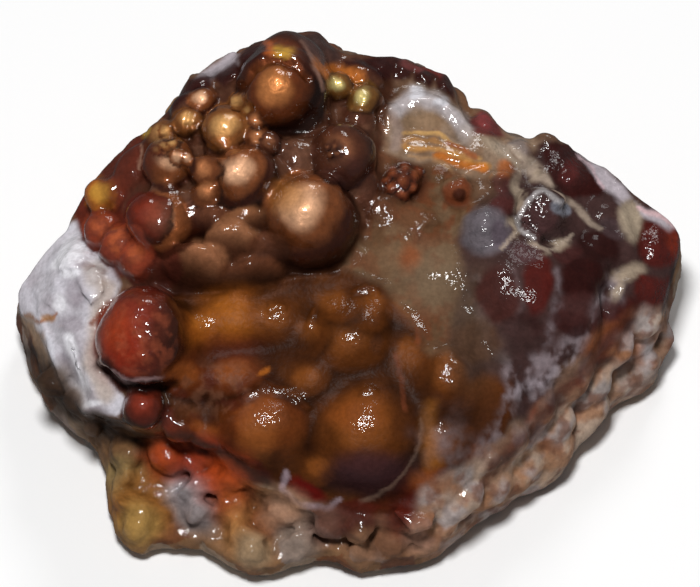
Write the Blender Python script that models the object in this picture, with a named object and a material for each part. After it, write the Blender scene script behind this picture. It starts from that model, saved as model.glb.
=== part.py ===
"""A rough piece of fire agate, modelled as the one stone that it is.

It lies on its worn, nearly flat back. The bubbly crust faces up and to the front, its
highest rim is at the back, and the paler chalcedony that the crust grew on shows below
the crust's front edge. The origin is under the middle of the stone, on the table.

Places are read square on to the show face, which looks up from the table at FACE_ELEVATION:
millimetres across, millimetres up the face, and where needed the height over the table.
"""

import math
import random

import bmesh
import bpy
import numpy as np
from mathutils import Matrix, Vector

MM = 0.001
STONE_WIDTH = 50.2 * MM  # from the white lump's left edge to the red lumps at the right end
READ_WIDTH = 50.2  # the same width in the millimetres that the places below are given in
FACE_ELEVATION = math.radians(60)
MOST_TRIANGLES = 9400

FINE_CELL = 0.36 * MM  # the grain at which the lumps are fused
STATIONS = 150  # points round the stone
FACE_RINGS = 34
CRUST_DROP = 2.6  # mm that the face falls at the crust's front edge
CRUST_DROP_WIDTH = 1.7
BELLY_BEHIND = 2.6  # mm that the hidden back bulges past the rim
BELLY_HEIGHT_SHARE = 0.46
FOOT_INSET = 0.93  # the foot's outline as a share of the belly's
SKIRT_HEIGHT = 3.0
BLOCK_ROOT = 2.0  # mm that a broken block reaches down into the stone
KNOB_SEED = 11

TO_THE_EYE = Vector((0.0, -math.cos(FACE_ELEVATION), math.sin(FACE_ELEVATION)))
EYE_TURN = Matrix.Rotation(math.pi / 2 - FACE_ELEVATION, 4, "X")

# The rim as seen square on, clockwise from the left end, and its height over the table.
RIM = [
    (-25.1, 0.3, 7.0), (-24.5, 1.1, 7.4), (-22.9, 3.0, 8.6), (-21.3, 4.7, 9.3),
    (-20.7, 6.5, 10.0), (-19.9, 7.9, 11.0), (-18.8, 9.0, 12.0), (-17.8, 10.0, 12.7),
    (-16.5, 11.9, 13.5), (-15.0, 12.6, 14.2), (-13.6, 14.0, 15.0), (-12.1, 16.5, 15.5),
    (-10.0, 16.4, 15.8), (-8.4, 18.2, 16.2), (-7.2, 19.2, 16.5), (-5.0, 19.6, 17.0),
    (-2.6, 19.9, 16.8), (-1.6, 18.9, 16.4), (-0.3, 17.8, 16.0), (3.3, 18.0, 15.0),
    (5.3, 17.3, 14.5), (7.2, 16.6, 14.0), (7.9, 15.5, 13.8), (8.3, 14.1, 13.5),
    (9.0, 13.2, 13.2), (10.3, 13.7, 13.0), (11.9, 12.0, 13.0), (14.8, 11.4, 12.8),
    (16.3, 11.6, 12.5), (17.4, 10.4, 12.1), (19.3, 9.7, 11.5), (21.5, 7.4, 11.0),
    (24.0, 6.0, 10.3), (25.0, 5.1, 10.0), (25.1, 3.5, 9.5), (24.3, 1.0, 8.7),
    (23.4, -1.5, 8.0),
]

# The paler skirt's outline below the crust, clockwise from the right end.
SKIRT = [
    (24.6, -2.9), (23.9, -4.6), (22.6, -6.3), (20.6, -7.3), (19.0, -8.6), (17.5, -10.5),
    (16.2, -12.4), (14.8, -13.8), (12.3, -14.8), (10.5, -16.0), (8.4, -17.7), (6.0, -19.2),
    (3.6, -19.9), (0.5, -19.9), (-2.0, -19.1), (-4.4, -19.8), (-7.0, -20.6), (-9.2, -19.8),
    (-11.2, -18.3), (-13.8, -18.2), (-16.2, -18.6), (-17.6, -17.2), (-18.2, -14.8),
    (-18.3, -12.9), (-19.4, -10.8), (-21.3, -8.7), (-23.2, -7.2), (-24.3, -5.2), (-24.8, -2.2),
]

# The crust's front edge, from right to left, with its height over the table.
CRUST_EDGE = [
    (23.0, -2.0, 8.0), (21.0, -2.6, 8.0), (18.5, -5.3, 7.5), (16.0, -8.0, 7.5),
    (13.5, -10.8, 7.0), (10.0, -13.5, 7.0), (7.5, -15.5, 6.5), (5.0, -17.0, 6.0),
    (1.0, -16.8, 6.0), (-2.0, -16.2, 6.5), (-5.0, -14.8, 7.0), (-8.5, -13.2, 8.0),
    (-10.2, -11.5, 8.5), (-12.5, -10.4, 9.0), (-15.5, -10.0, 9.5), (-17.5, -9.4, 9.5),
    (-20.0, -9.0, 8.5), (-22.5, -5.5, 7.5), (-24.3, -2.0, 7.0),
]

# Heights over the table that were judged inside the face.
SPOT_HEIGHTS = [
    (-10.0, 10.0, 17.0), (-14.0, 8.0, 16.0), (-5.0, 14.0, 17.5), (-3.0, 5.0, 15.5),
    (-12.0, 3.0, 14.5), (-8.0, -2.5, 12.5), (0.0, -4.0, 12.5), (0.0, -10.0, 11.0),
    (-6.0, -10.0, 10.5), (7.0, -6.0, 12.0), (6.0, 3.0, 14.0), (5.0, 10.0, 15.0),
    (12.0, 8.0, 14.0), (13.0, 0.0, 13.0), (18.0, 2.0, 11.5), (16.0, 9.0, 12.5),
    (22.0, 4.0, 10.0), (7.0, -12.0, 9.0), (-15.5, -3.5, 12.0), (-17.0, 4.0, 13.0),
    (-21.0, 0.0, 10.2),
]

# Balls: across, up, radius, and how far the middle stands off the face towards the eye.
BRONZE_BUBBLES = [
    (-5.0, 15.2, 3.55, 0.0), (-4.6, 17.0, 2.7, -0.1), (-5.4, 14.9, 2.75, 1.0),
    (-9.4, 11.3, 1.6, 0.3), (-9.2, 12.3, 1.9, 0.7), (-6.9, 11.6, 1.1, 0.5),
    (-7.8, 8.5, 2.6, 0.3), (-8.2, 8.8, 2.25, 0.95), (-10.7, 9.2, 1.3, 0.6),
    (-10.6, 7.5, 1.25, 0.5), (-13.6, 9.8, 2.0, 0.6), (-14.1, 11.6, 1.45, 0.4),
    (-12.1, 12.7, 1.2, 0.6), (-11.1, 14.6, 1.1, 0.4), (-8.4, 14.4, 0.7, 0.9),
    (-7.7, 13.8, 0.6, 1.1), (-7.1, 13.0, 0.75, 0.9), (-5.9, 11.3, 0.9, 0.4),
    (-3.0, 5.4, 3.6, -0.4), (-3.2, 5.9, 3.0, 0.5), (-0.5, 10.3, 2.45, 0.5),
    (-0.9, 15.6, 1.1, 0.6), (1.1, 14.6, 1.3, 0.6), (3.9, 8.4, 1.3, 0.3),
]
CHERRY_BUBBLES = [
    (-14.1, 5.2, 2.5, 0.1), (-15.0, 5.6, 2.0, 0.9), (-18.6, 7.4, 1.2, 0.3),
    (-17.7, 7.6, 1.2, 0.0), (-18.6, 4.8, 1.6, -0.2), (-17.1, 3.5, 1.7, -0.2),
    (-16.2, 2.6, 1.4, -0.1), (-15.4, -8.5, 1.6, 0.2), (-12.7, -9.6, 1.5, 0.0),
]
SMALL_BUBBLES = [
    (-13.1, 10.2, 0.75, 2.2), (-12.2, 10.1, 0.6, 1.9), (-13.7, 12.1, 0.6, 1.6),
    (-14.6, 10.7, 0.5, 2.1), (3.3, 8.9, 0.5, 1.2), (4.6, 8.8, 0.5, 1.2), (4.2, 7.6, 0.5, 1.2),
]

# Swells: across, up, half width, half height, turn in degrees, lift of the middle, bulge.
FILLINGS = [
    (-9.1, 8.2, 2.6, 2.5, 0, -0.1, 2.2), (-7.3, 12.0, 1.5, 1.5, 0, 0.0, 1.2),
    (-12.3, 13.9, 1.6, 1.2, 35, -0.2, 1.2), (-5.9, 8.0, 1.5, 2.2, 20, -0.3, 1.3),
    (-5.7, 4.6, 1.8, 1.9, 0, -0.3, 1.2), (-11.9, 6.3, 1.2, 1.7, 20, -0.2, 1.4),
    (-4.0, 10.0, 1.8, 1.7, 0, -0.4, 1.3), (-2.9, 13.0, 1.5, 1.8, 0, -0.4, 1.3),
    (0.4, 12.6, 1.6, 1.8, 0, -0.4, 1.3), (-15.9, 9.6, 1.4, 2.6, -40, -0.3, 1.4),
    (-14.9, 2.2, 1.5, 1.2, 20, -0.3, 1.2), (0.9, 7.4, 1.4, 2.0, 0, -0.4, 1.2),
    (-13.6, 7.4, 1.4, 1.0, -20, 0.0, 1.1), (1.0, 16.2, 1.6, 1.0, -10, -0.1, 1.0),
    (-15.4, -3.5, 3.6, 4.0, 0, 1.0, 3.5),
]
AMBER_SWELLS = [
    (-8.3, -2.2, 3.7, 2.5, 14, -0.9, 2.2), (-10.6, -3.0, 1.5, 1.6, 0, -0.2, 1.4),
    (-5.5, -2.4, 1.8, 1.8, 0, -0.2, 1.6), (0.1, -4.0, 3.2, 3.1, 0, -0.6, 2.4),
    (1.6, -1.5, 1.9, 1.7, 0, -0.3, 1.6), (-0.9, -1.2, 1.5, 1.2, 0, -0.3, 1.2),
    (-3.3, -2.4, 1.5, 2.2, -8, -0.4, 1.3), (-6.3, -10.0, 3.7, 3.2, 0, -0.7, 2.6),
    (1.3, -10.7, 4.1, 4.0, 0, -0.9, 3.0), (7.2, -7.6, 2.5, 3.0, 0, -0.6, 2.1),
    (7.3, -11.5, 2.2, 2.2, 0, -0.2, 1.6), (10.3, -8.6, 2.6, 3.8, -12, -0.7, 2.0),
    (-8.9, -6.4, 3.2, 1.7, 8, -0.5, 1.4), (-3.1, -6.7, 1.9, 1.6, 20, -0.5, 1.3),
    (4.7, -5.2, 1.7, 3.0, 4, -0.6, 1.5), (5.0, -1.4, 2.2, 2.0, 0, -0.5, 1.3),
    (-12.2, -6.6, 1.9, 1.7, 0, -0.4, 1.2), (-2.5, -13.4, 1.8, 1.5, 0, -0.4, 1.3),
    (5.6, -14.2, 1.8, 1.4, 20, -0.3, 1.2), (9.9, -12.3, 1.7, 1.3, 35, -0.3, 1.2),
    (-10.6, -10.6, 1.9, 1.2, -25, -0.3, 1.1), (4.4, -8.4, 1.3, 1.6, 0, -0.5, 1.2),
]
UPPER_SWELLS = [
    (6.2, 1.4, 3.0, 2.6, 0, -0.7, 1.6), (3.0, 2.6, 2.2, 2.4, 0, -0.6, 1.3),
    (5.4, 5.2, 2.1, 1.7, 0, -0.3, 1.3), (2.6, 6.0, 1.5, 1.4, 0, -0.2, 1.2),
    (5.0, 14.2, 1.9, 1.1, 5, 0.0, 1.4), (7.9, 12.8, 1.0, 1.7, 35, 0.0, 1.4),
    (5.6, 12.2, 2.3, 1.4, -5, -0.5, 1.2), (7.6, 10.4, 2.4, 0.9, -18, -0.3, 1.1),
    (3.2, 12.6, 1.2, 1.8, 0, -0.4, 1.2), (9.9, 11.2, 1.5, 1.2, -35, 0.0, 0.9),
]
DOME_SWELLS = [
    (13.2, -1.4, 5.9, 5.4, -20, -1.2, 3.2), (17.4, 1.5, 2.0, 2.1, 0, -0.1, 1.9),
    (18.6, 3.4, 1.7, 1.5, 0, -0.1, 1.5), (19.3, 5.9, 1.9, 1.3, -30, -0.1, 1.3),
    (20.6, 3.2, 1.2, 1.6, 0, 0.0, 1.2), (20.4, -0.4, 1.4, 2.2, -15, -0.1, 1.4),
    (18.6, -3.6, 1.6, 2.2, -35, -0.2, 1.5), (16.4, -6.2, 1.7, 2.2, -38, -0.2, 1.5),
    (13.8, -8.6, 1.6, 2.0, -42, -0.2, 1.5), (11.9, -10.8, 1.5, 1.8, -45, -0.2, 1.4),
    (13.0, -5.2, 2.6, 1.9, -20, -0.3, 1.6), (16.0, 3.0, 1.5, 1.2, 30, 0.0, 1.2),
    (12.7, 3.4, 1.6, 1.3, 0, -0.1, 1.2), (14.4, 8.6, 1.3, 1.6, -40, -0.2, 1.1),
    (10.3, 4.9, 1.9, 1.9, 0, 0.0, 1.8), (8.7, 7.6, 1.6, 1.5, 0, -0.1, 1.4),
    (11.3, 6.6, 1.1, 1.0, 0, 0.1, 1.0), (11.3, 8.4, 1.1, 1.0, 0, 0.1, 1.0),
    (14.4, 5.8, 1.8, 1.8, 0, 0.3, 1.6), (12.8, 10.6, 1.1, 1.1, 0, 0.1, 1.1),
]

# Petals: the same, and how far the shell is tipped so that its upper edge stands out.
PETALS = [
    (-10.0, 6.3, 1.5, 0.9, -18, 0.5, 0.8, 25), (-7.6, 6.1, 1.6, 1.0, 14, 0.5, 0.8, 25),
    (-8.9, 4.2, 2.1, 1.6, -24, 0.5, 1.0, 28), (-6.7, 4.0, 1.6, 1.5, 4, 0.4, 0.9, 25),
    (-11.4, 2.7, 2.5, 1.9, -24, 0.5, 1.2, 28), (-8.3, 1.9, 2.2, 1.9, 6, 0.2, 1.1, 22),
    (-13.8, 2.6, 1.5, 1.4, 30, 0.0, 1.0, 16),
]

# Broken blocks: the corners of each, across, up and how far they stand off the face.
WHITE_BLOCKS = [
    [
        (-24.9, 0.3, -0.6), (-23.8, 2.0, -0.4), (-21.9, 4.0, -0.3), (-20.3, 4.9, -0.2),
        (-19.2, 3.2, 0.2), (-17.7, 1.6, 0.3), (-17.6, -0.6, 0.2), (-18.6, -2.6, 0.0),
        (-22.0, -2.6, 0.1), (-24.4, -1.3, -0.6), (-21.6, 3.0, 1.1), (-20.2, 2.6, 1.5),
        (-19.4, 0.6, 1.9), (-21.2, 0.0, 1.7), (-23.0, 0.6, 0.8), (-22.8, -0.9, 0.8),
    ],
    [
        (-19.2, -1.4, 0.8), (-21.6, -2.2, 0.9), (-23.2, -2.9, -0.5), (-22.6, -5.0, -0.9),
        (-21.4, -7.2, -1.2), (-19.8, -8.9, -0.9), (-17.5, -8.6, -0.6), (-17.0, -7.4, -0.2),
        (-18.6, -5.6, 0.4), (-18.8, -3.2, 0.9), (-20.4, -3.0, 1.3), (-20.9, -5.4, 0.8),
        (-19.3, -7.0, 0.5),
    ],
    [
        (-23.9, -1.6, 0.2), (-24.6, -1.9, -0.6), (-24.0, -3.6, -0.9), (-23.0, -4.9, -0.8),
        (-22.6, -3.4, 0.2), (-23.2, -2.0, 0.6),
    ],
]
RIM_BLOCKS = [
    [
        (14.2, 11.2, -0.4), (16.3, 11.5, -0.3), (17.6, 10.4, -0.4), (19.3, 8.6, -0.4),
        (18.6, 7.4, -0.2), (16.6, 7.2, -0.2), (15.0, 8.6, -0.2), (16.0, 10.6, 1.0),
        (15.2, 9.8, 0.9), (16.6, 8.8, 1.5), (17.8, 8.8, 1.1),
    ],
    [
        (22.4, 5.4, -0.3), (24.8, 4.8, -0.2), (25.0, 3.3, -0.1), (24.0, 1.9, -0.2),
        (22.2, 2.3, 0.0), (21.6, 3.9, 0.0), (23.4, 4.4, 0.9), (23.2, 3.0, 1.0),
    ],
    [
        (21.6, 1.4, 0.0), (23.9, 1.2, -0.2), (24.1, 0.2, -0.2), (23.2, -1.4, -0.3),
        (21.6, -1.2, -0.2), (21.4, 0.2, 0.2), (22.8, 0.4, 0.9),
    ],
    [
        (17.4, 10.3, -0.6), (19.3, 9.5, -0.6), (21.4, 7.3, -0.5), (20.6, 6.8, 0.0),
        (18.9, 8.0, 0.3), (18.2, 9.6, 0.2),
    ],
    [(21.6, 7.0, -0.3), (24.7, 5.2, -0.3), (24.0, 4.6, 0.1), (22.0, 6.0, 0.4)],
    [
        (9.0, 13.0, 0.0), (9.9, 13.2, 0.1), (10.2, 13.7, 0.0), (10.5, 13.2, 0.1),
        (11.2, 12.6, 0.0), (11.7, 11.9, 0.0), (9.6, 11.7, 0.1), (10.2, 12.7, 1.0),
        (10.6, 12.0, 0.8),
    ],
    [
        (-4.2, 19.5, -0.3), (-2.5, 19.9, 0.0), (-1.4, 18.6, 0.0), (-0.6, 17.7, 0.0),
        (-2.0, 17.2, 0.0), (-3.2, 18.3, 0.4), (-2.3, 18.8, 1.0),
    ],
    [
        (-0.6, 17.7, -0.2), (0.2, 17.6, 0.1), (1.2, 17.5, 0.3), (1.6, 16.5, 0.3),
        (0.4, 16.9, 0.3), (0.8, 17.2, 1.0), (-0.4, 17.1, 0.2),
    ],
    [
        (1.0, 17.6, -0.2), (2.3, 17.9, 0.0), (3.2, 18.0, 0.1), (3.5, 17.0, 0.5),
        (3.0, 16.2, 0.2), (1.7, 16.4, 0.2), (2.4, 17.2, 1.0),
    ],
    [
        (3.2, 17.9, -0.1), (4.4, 17.8, 0.0), (5.0, 17.2, 0.3), (4.6, 16.0, 0.2),
        (3.2, 16.2, 0.2), (3.9, 17.0, 1.1), (4.4, 16.6, 0.9),
    ],
    [
        (4.8, 17.6, -0.1), (6.0, 16.9, 0.0), (6.4, 16.2, 0.4), (6.0, 15.4, 0.2),
        (4.8, 15.8, 0.2), (5.4, 16.6, 1.0), (5.8, 16.0, 0.8),
    ],
    [
        (6.0, 16.9, -0.1), (7.2, 16.6, 0.0), (7.9, 15.6, 0.0), (8.1, 14.4, 0.1),
        (7.4, 14.9, 0.3), (6.4, 15.3, 0.3), (7.0, 15.8, 1.1), (7.5, 15.2, 0.8),
    ],
    [
        (-12.2, 16.5, -0.2), (-11.2, 16.6, -0.1), (-10.2, 16.3, 0.0), (-10.6, 15.6, 0.3),
        (-11.8, 15.4, 0.3), (-12.7, 15.2, 0.0), (-11.4, 16.0, 0.9),
    ],
    [
        (-10.3, 16.3, -0.1), (-9.2, 16.8, -0.1), (-8.6, 17.8, 0.0), (-8.2, 16.6, 0.4),
        (-9.6, 15.7, 0.3), (-9.0, 16.6, 0.9),
    ],
    [
        (-8.6, 17.8, -0.2), (-8.0, 18.5, -0.2), (-6.8, 19.3, 0.0), (-6.4, 18.3, 0.5),
        (-7.8, 16.9, 0.4), (-7.4, 17.9, 1.0),
    ],
    [
        (-13.9, 13.6, -0.1), (-13.2, 14.8, 0.0), (-12.4, 15.9, 0.0), (-12.0, 15.0, 0.4),
        (-13.0, 13.6, 0.4), (-12.9, 14.6, 0.7),
    ],
]

# The matrix: across, up, size and stand of each worn stone in it. Every third is rounder.
MATRIX_STONES = [
    (-16.8, -12.0, 1.5, 0.3), (-17.1, -14.0, 1.3, 0.4), (-15.6, -15.7, 2.2, 0.3),
    (-15.9, -17.3, 1.3, 0.0), (-12.0, -14.5, 1.5, 0.4), (-11.3, -16.4, 1.4, 0.3),
    (-13.6, -12.1, 1.6, 0.1), (-10.9, -12.4, 1.6, 0.1), (-9.4, -14.0, 1.7, 0.0),
    (-8.8, -15.9, 1.3, 0.1), (-7.8, -17.8, 1.5, 0.3), (-6.3, -17.0, 1.2, 0.1),
    (-7.4, -19.3, 1.2, 0.0), (-4.8, -16.3, 1.4, 0.3), (-3.8, -18.5, 1.3, 0.1),
    (-1.5, -17.3, 1.3, 0.2), (0.7, -17.4, 1.4, 0.1), (0.9, -18.9, 1.2, 0.0),
    (3.2, -18.5, 1.4, 0.1), (4.7, -16.6, 1.6, 0.2), (5.6, -18.3, 1.2, 0.0),
    (7.0, -17.1, 1.2, 0.1), (7.9, -15.6, 1.4, 0.2), (9.7, -14.9, 1.3, 0.1),
    (11.2, -13.7, 1.4, 0.1), (13.0, -12.9, 1.5, 0.1), (14.7, -11.5, 1.6, 0.2),
    (16.2, -10.2, 1.5, 0.1), (17.9, -8.4, 1.5, 0.2), (18.1, -6.9, 1.3, 0.2),
    (19.6, -6.6, 1.3, 0.1), (19.3, -5.4, 1.2, 0.2), (21.2, -5.7, 1.3, 0.0),
    (21.7, -3.9, 1.2, 0.2), (22.8, -4.7, 1.2, 0.0), (20.3, -4.5, 1.2, 0.2),
    (23.4, -3.2, 1.2, 0.1), (-19.0, -9.9, 1.1, 0.0), (-22.2, -6.6, 1.3, 0.0),
    (-20.8, -8.2, 1.0, 0.0),
]


def clear_scene():
    for thing in list(bpy.data.objects):
        bpy.data.objects.remove(thing, do_unlink=True)


def place(across, up, height):
    """The point of the stone that is seen at (across, up) and lies at this height."""
    back = (up - height * math.cos(FACE_ELEVATION)) / math.sin(FACE_ELEVATION)
    return Vector((across, back, height))


def radius_round(outline, angles):
    """How far a closed outline reaches from the middle, at each of the angles."""
    points = np.array([(p[0], p[1]) for p in outline])
    turn = np.arctan2(points[:, 1], points[:, 0])
    reach = np.hypot(points[:, 0], points[:, 1])
    order = np.argsort(turn)
    return np.interp(angles, turn[order], reach[order], period=2 * math.pi)


class Face:
    """The show face without its lumps: a thin plate bent through the judged heights."""

    def __init__(self):
        skirt = [(a, u, SKIRT_HEIGHT + CRUST_DROP) for a, u in SKIRT]
        known = np.array(RIM + CRUST_EDGE + SPOT_HEIGHTS + skirt)
        self.knots = known[:, :2]
        count = len(known)
        ones = np.ones((count, 1))
        plate = np.zeros((count + 3, count + 3))
        plate[:count, :count] = self.bend(self.knots) + 0.4 * np.eye(count)
        plate[:count, count:] = np.hstack([ones, self.knots])
        plate[count:, :count] = plate[:count, count:].T
        self.weights = np.linalg.solve(plate, np.append(known[:, 2], (0, 0, 0)))

    def bend(self, points):
        gap = np.linalg.norm(points[:, None, :] - self.knots[None, :, :], axis=2)
        return gap**2 * np.log(gap + 1e-9)

    def height(self, across, up):
        across = np.atleast_1d(np.asarray(across, float))
        up = np.atleast_1d(np.asarray(up, float))
        points = np.stack([across, up], axis=1)
        flat = np.hstack([self.bend(points), np.ones((len(points), 1)), points])
        angles = np.arctan2(up, across)
        edge = radius_round(CRUST_EDGE + [(a * 1.1, u * 1.1) for a, u, _ in RIM], angles)
        past = np.clip((np.hypot(across, up) - edge) / CRUST_DROP_WIDTH, 0, 1)
        return flat @ self.weights - CRUST_DROP * past * past * (3 - 2 * past)


def stone_body(face):
    """The stone without its lumps: the face in rings, the hidden back, and the foot."""
    angles = np.linspace(-math.pi, math.pi, STATIONS, endpoint=False)
    reach = radius_round(RIM + SKIRT, angles)
    rings = []
    for ring in range(1, FACE_RINGS + 1):
        share = ring / FACE_RINGS
        across = reach * share * np.cos(angles)
        up = reach * share * np.sin(angles)
        heights = face.height(across, up)
        rings.append([place(a, u, h) for a, u, h in zip(across, up, heights)])
    belly = []
    for point, angle in zip(rings[-1], angles):
        behind = BELLY_BEHIND * max(0.0, math.sin(angle)) ** 0.5
        belly.append(Vector((point.x, point.y + behind, point.z * BELLY_HEIGHT_SHARE)))
    foot = [Vector((p.x * FOOT_INSET, p.y * FOOT_INSET, -1.0)) for p in belly]
    rings += [belly, foot]

    body = bmesh.new()
    middle = body.verts.new(place(0.0, 0.0, float(face.height(0.0, 0.0)[0])))
    loops = [[body.verts.new(p) for p in ring] for ring in rings]
    for side in range(STATIONS):
        after = (side + 1) % STATIONS
        body.faces.new((middle, loops[0][side], loops[0][after]))
        for inner, outer in zip(loops, loops[1:]):
            body.faces.new((inner[side], outer[side], outer[after], inner[after]))
    body.faces.new(reversed(loops[-1]))
    return body


def seat(face, across, up, stand):
    """A place on the face, moved off it towards the eye."""
    return place(across, up, float(face.height(across, up)[0])) + stand * TO_THE_EYE


def add_swell(body, centre, sizes, turn=0.0, tilt=0.0):
    """A ball drawn out along three axes, the last of them towards the eye."""
    spin = Matrix.Rotation(math.radians(turn), 4, "Z") @ Matrix.Rotation(math.radians(tilt), 4, "X")
    where = Matrix.Translation(centre) @ EYE_TURN @ spin @ Matrix.Diagonal((*sizes, 1.0))
    bmesh.ops.create_icosphere(body, subdivisions=3, radius=1.0, matrix=where)


def add_hull(body, points):
    """A block with flat breaks: the hull of some points."""
    verts = [body.verts.new(point) for point in points]
    hull = bmesh.ops.convex_hull(body, input=verts)
    inside = {v for v in hull["geom_interior"] + hull["geom_unused"]
              if isinstance(v, bmesh.types.BMVert)}
    bmesh.ops.delete(body, geom=list(inside), context="VERTS")


def add_block(body, face, corners):
    points = [seat(face, *corner) for corner in corners]
    across = sum(corner[0] for corner in corners) / len(corners)
    up = sum(corner[1] for corner in corners) / len(corners)
    points.append(seat(face, across, up, -BLOCK_ROOT))
    add_hull(body, points)


def add_chip(body, centre, size, seed):
    """An angular pebble, from corners thrown on an egg shape."""
    chance = random.Random(seed)
    points = []
    for _ in range(14):
        way = Vector((chance.gauss(0, 1), chance.gauss(0, 1), chance.gauss(0, 1))).normalized()
        way = Vector((way.x, way.y * 0.85, way.z * 0.9))
        points.append(centre + EYE_TURN.to_3x3() @ way * size)
    add_hull(body, points)


def add_growth(body, face):
    for across, up, radius, lift in BRONZE_BUBBLES + CHERRY_BUBBLES + SMALL_BUBBLES:
        add_swell(body, seat(face, across, up, lift), (radius, radius, radius))
    for across, up, wide, high, turn, lift, bulge in (
        FILLINGS + AMBER_SWELLS + UPPER_SWELLS + DOME_SWELLS
    ):
        add_swell(body, seat(face, across, up, lift), (wide, high, bulge), turn)
    for across, up, wide, high, turn, lift, bulge, tilt in PETALS:
        add_swell(body, seat(face, across, up, lift), (wide, high, bulge), turn, tilt)
    for corners in WHITE_BLOCKS + RIM_BLOCKS:
        add_block(body, face, corners)
    for count, (across, up, size, stand) in enumerate(MATRIX_STONES):
        centre = seat(face, across, up, stand)
        if count % 3 == 0:
            add_swell(body, centre, (size, size * 0.9, size), 25 * count)
        else:
            add_chip(body, centre, size * 1.15, count)


def add_side_knobs(body, face):
    """Low chalcedony knobs over the hidden back, where the rim hides them from the front."""
    chance = random.Random(KNOB_SEED)
    for row, share in enumerate((0.28, 0.55, 0.8)):
        for step in range(16):
            angle = math.radians(14 + 152 * (step + 0.5 * (row % 2)) / 15.5)
            reach = float(radius_round(RIM + SKIRT, np.array([angle]))[0])
            across = reach * math.cos(angle)
            up = reach * math.sin(angle)
            height = float(face.height(across, up)[0])
            rim = place(across, up, height)
            bulge = BELLY_BEHIND * math.sin(angle) ** 0.5 * min(1.0, 1.9 * (1 - share))
            radius = chance.uniform(1.4, 2.5)
            sink = radius - chance.uniform(0.4, 0.9)
            centre = Vector((rim.x * 0.94, rim.y + bulge - sink, height * share))
            add_swell(body, centre, (radius, radius, radius * 0.8), 40 * step)


def fuse(stone):
    """One skin round the body and all its lumps, then few enough faces."""
    fused = stone.modifiers.new("fuse the lumps", "REMESH")
    fused.mode = "VOXEL"
    fused.voxel_size = FINE_CELL
    softened = stone.modifiers.new("wear the creases", "SMOOTH")
    softened.factor = 0.5
    softened.iterations = 2
    bpy.context.view_layer.update()
    evaluated = stone.evaluated_get(bpy.context.evaluated_depsgraph_get())
    skin = bpy.data.meshes.new_from_object(evaluated)
    stone.modifiers.clear()
    stone.data = skin

    skin.calc_loop_triangles()
    thinned = stone.modifiers.new("fewer faces", "DECIMATE")
    thinned.ratio = MOST_TRIANGLES / len(skin.loop_triangles)
    thinned.use_collapse_triangulate = True
    evaluated = stone.evaluated_get(bpy.context.evaluated_depsgraph_get())
    few = bpy.data.meshes.new_from_object(evaluated)
    stone.modifiers.clear()
    stone.data = few


def cut_foot(stone):
    """The worn back that the stone lies on: everything under the table plane comes off."""
    cut = bmesh.new()
    cut.from_mesh(stone.data)
    parts = cut.verts[:] + cut.edges[:] + cut.faces[:]
    bmesh.ops.bisect_plane(
        cut, geom=parts, dist=0.00002, plane_co=(0, 0, 0), plane_no=(0, 0, 1), clear_inner=True
    )
    rim = [edge for edge in cut.edges if edge.is_boundary]
    bmesh.ops.holes_fill(cut, edges=rim, sides=0)
    bmesh.ops.dissolve_degenerate(cut, dist=0.00002, edges=cut.edges[:])
    bmesh.ops.triangulate(cut, faces=cut.faces[:])
    bmesh.ops.recalc_face_normals(cut, faces=cut.faces[:])
    cut.to_mesh(stone.data)
    cut.free()


def centre_on_table(stone):
    corners = np.array([v.co for v in stone.data.vertices])
    low = corners.min(axis=0)
    high = corners.max(axis=0)
    middle = Vector(((low[0] + high[0]) / 2, (low[1] + high[1]) / 2, low[2]))
    stone.data.transform(Matrix.Translation(-middle))


def chalcedony():
    """Wet-looking, iron-brown chalcedony."""
    finish = bpy.data.materials.new("iron-brown chalcedony")
    finish.use_nodes = True
    shader = finish.node_tree.nodes["Principled BSDF"]
    shader.inputs["Base Color"].default_value = (0.13, 0.045, 0.018, 1.0)
    shader.inputs["Roughness"].default_value = 0.25
    shader.inputs["Metallic"].default_value = 0.0
    finish.diffuse_color = (0.13, 0.045, 0.018, 1.0)
    return finish


def build():
    clear_scene()
    face = Face()
    body = stone_body(face)
    add_growth(body, face)
    add_side_knobs(body, face)
    body.transform(Matrix.Scale(STONE_WIDTH / READ_WIDTH, 4))
    mesh = bpy.data.meshes.new("fire_agate")
    body.to_mesh(mesh)
    body.free()
    stone = bpy.data.objects.new("fire_agate", mesh)
    bpy.context.scene.collection.objects.link(stone)
    fuse(stone)
    cut_foot(stone)
    centre_on_table(stone)
    stone.data.materials.append(chalcedony())
    stone.data.shade_smooth()
    stone.data.set_sharp_from_angle(angle=math.radians(35))


build()
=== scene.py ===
import math
import random

import bmesh
import bpy
import numpy as np
from mathutils import Matrix, Vector, noise


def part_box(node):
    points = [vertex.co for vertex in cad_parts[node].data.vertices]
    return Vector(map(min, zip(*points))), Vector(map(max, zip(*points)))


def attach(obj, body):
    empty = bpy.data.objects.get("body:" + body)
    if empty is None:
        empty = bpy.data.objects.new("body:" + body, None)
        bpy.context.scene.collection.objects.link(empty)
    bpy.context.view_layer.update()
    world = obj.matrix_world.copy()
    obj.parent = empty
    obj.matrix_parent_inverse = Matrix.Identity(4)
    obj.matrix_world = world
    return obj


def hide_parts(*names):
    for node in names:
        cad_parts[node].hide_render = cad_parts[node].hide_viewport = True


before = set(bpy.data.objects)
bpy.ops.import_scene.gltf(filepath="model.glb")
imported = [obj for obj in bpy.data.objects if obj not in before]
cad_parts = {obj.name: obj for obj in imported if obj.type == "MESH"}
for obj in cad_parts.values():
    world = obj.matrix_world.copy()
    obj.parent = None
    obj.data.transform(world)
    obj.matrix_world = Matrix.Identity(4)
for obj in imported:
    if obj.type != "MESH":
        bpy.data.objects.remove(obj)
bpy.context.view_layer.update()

# The plain body of the stone. A broken piece of rough chalcedony with its show face looking up
# and to the front: a high rim behind, a crust that ends in a step at the front, a paler skirt of
# matrix below the crust, and a flat worn underside. Every later lump grew out of this one piece.

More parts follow.
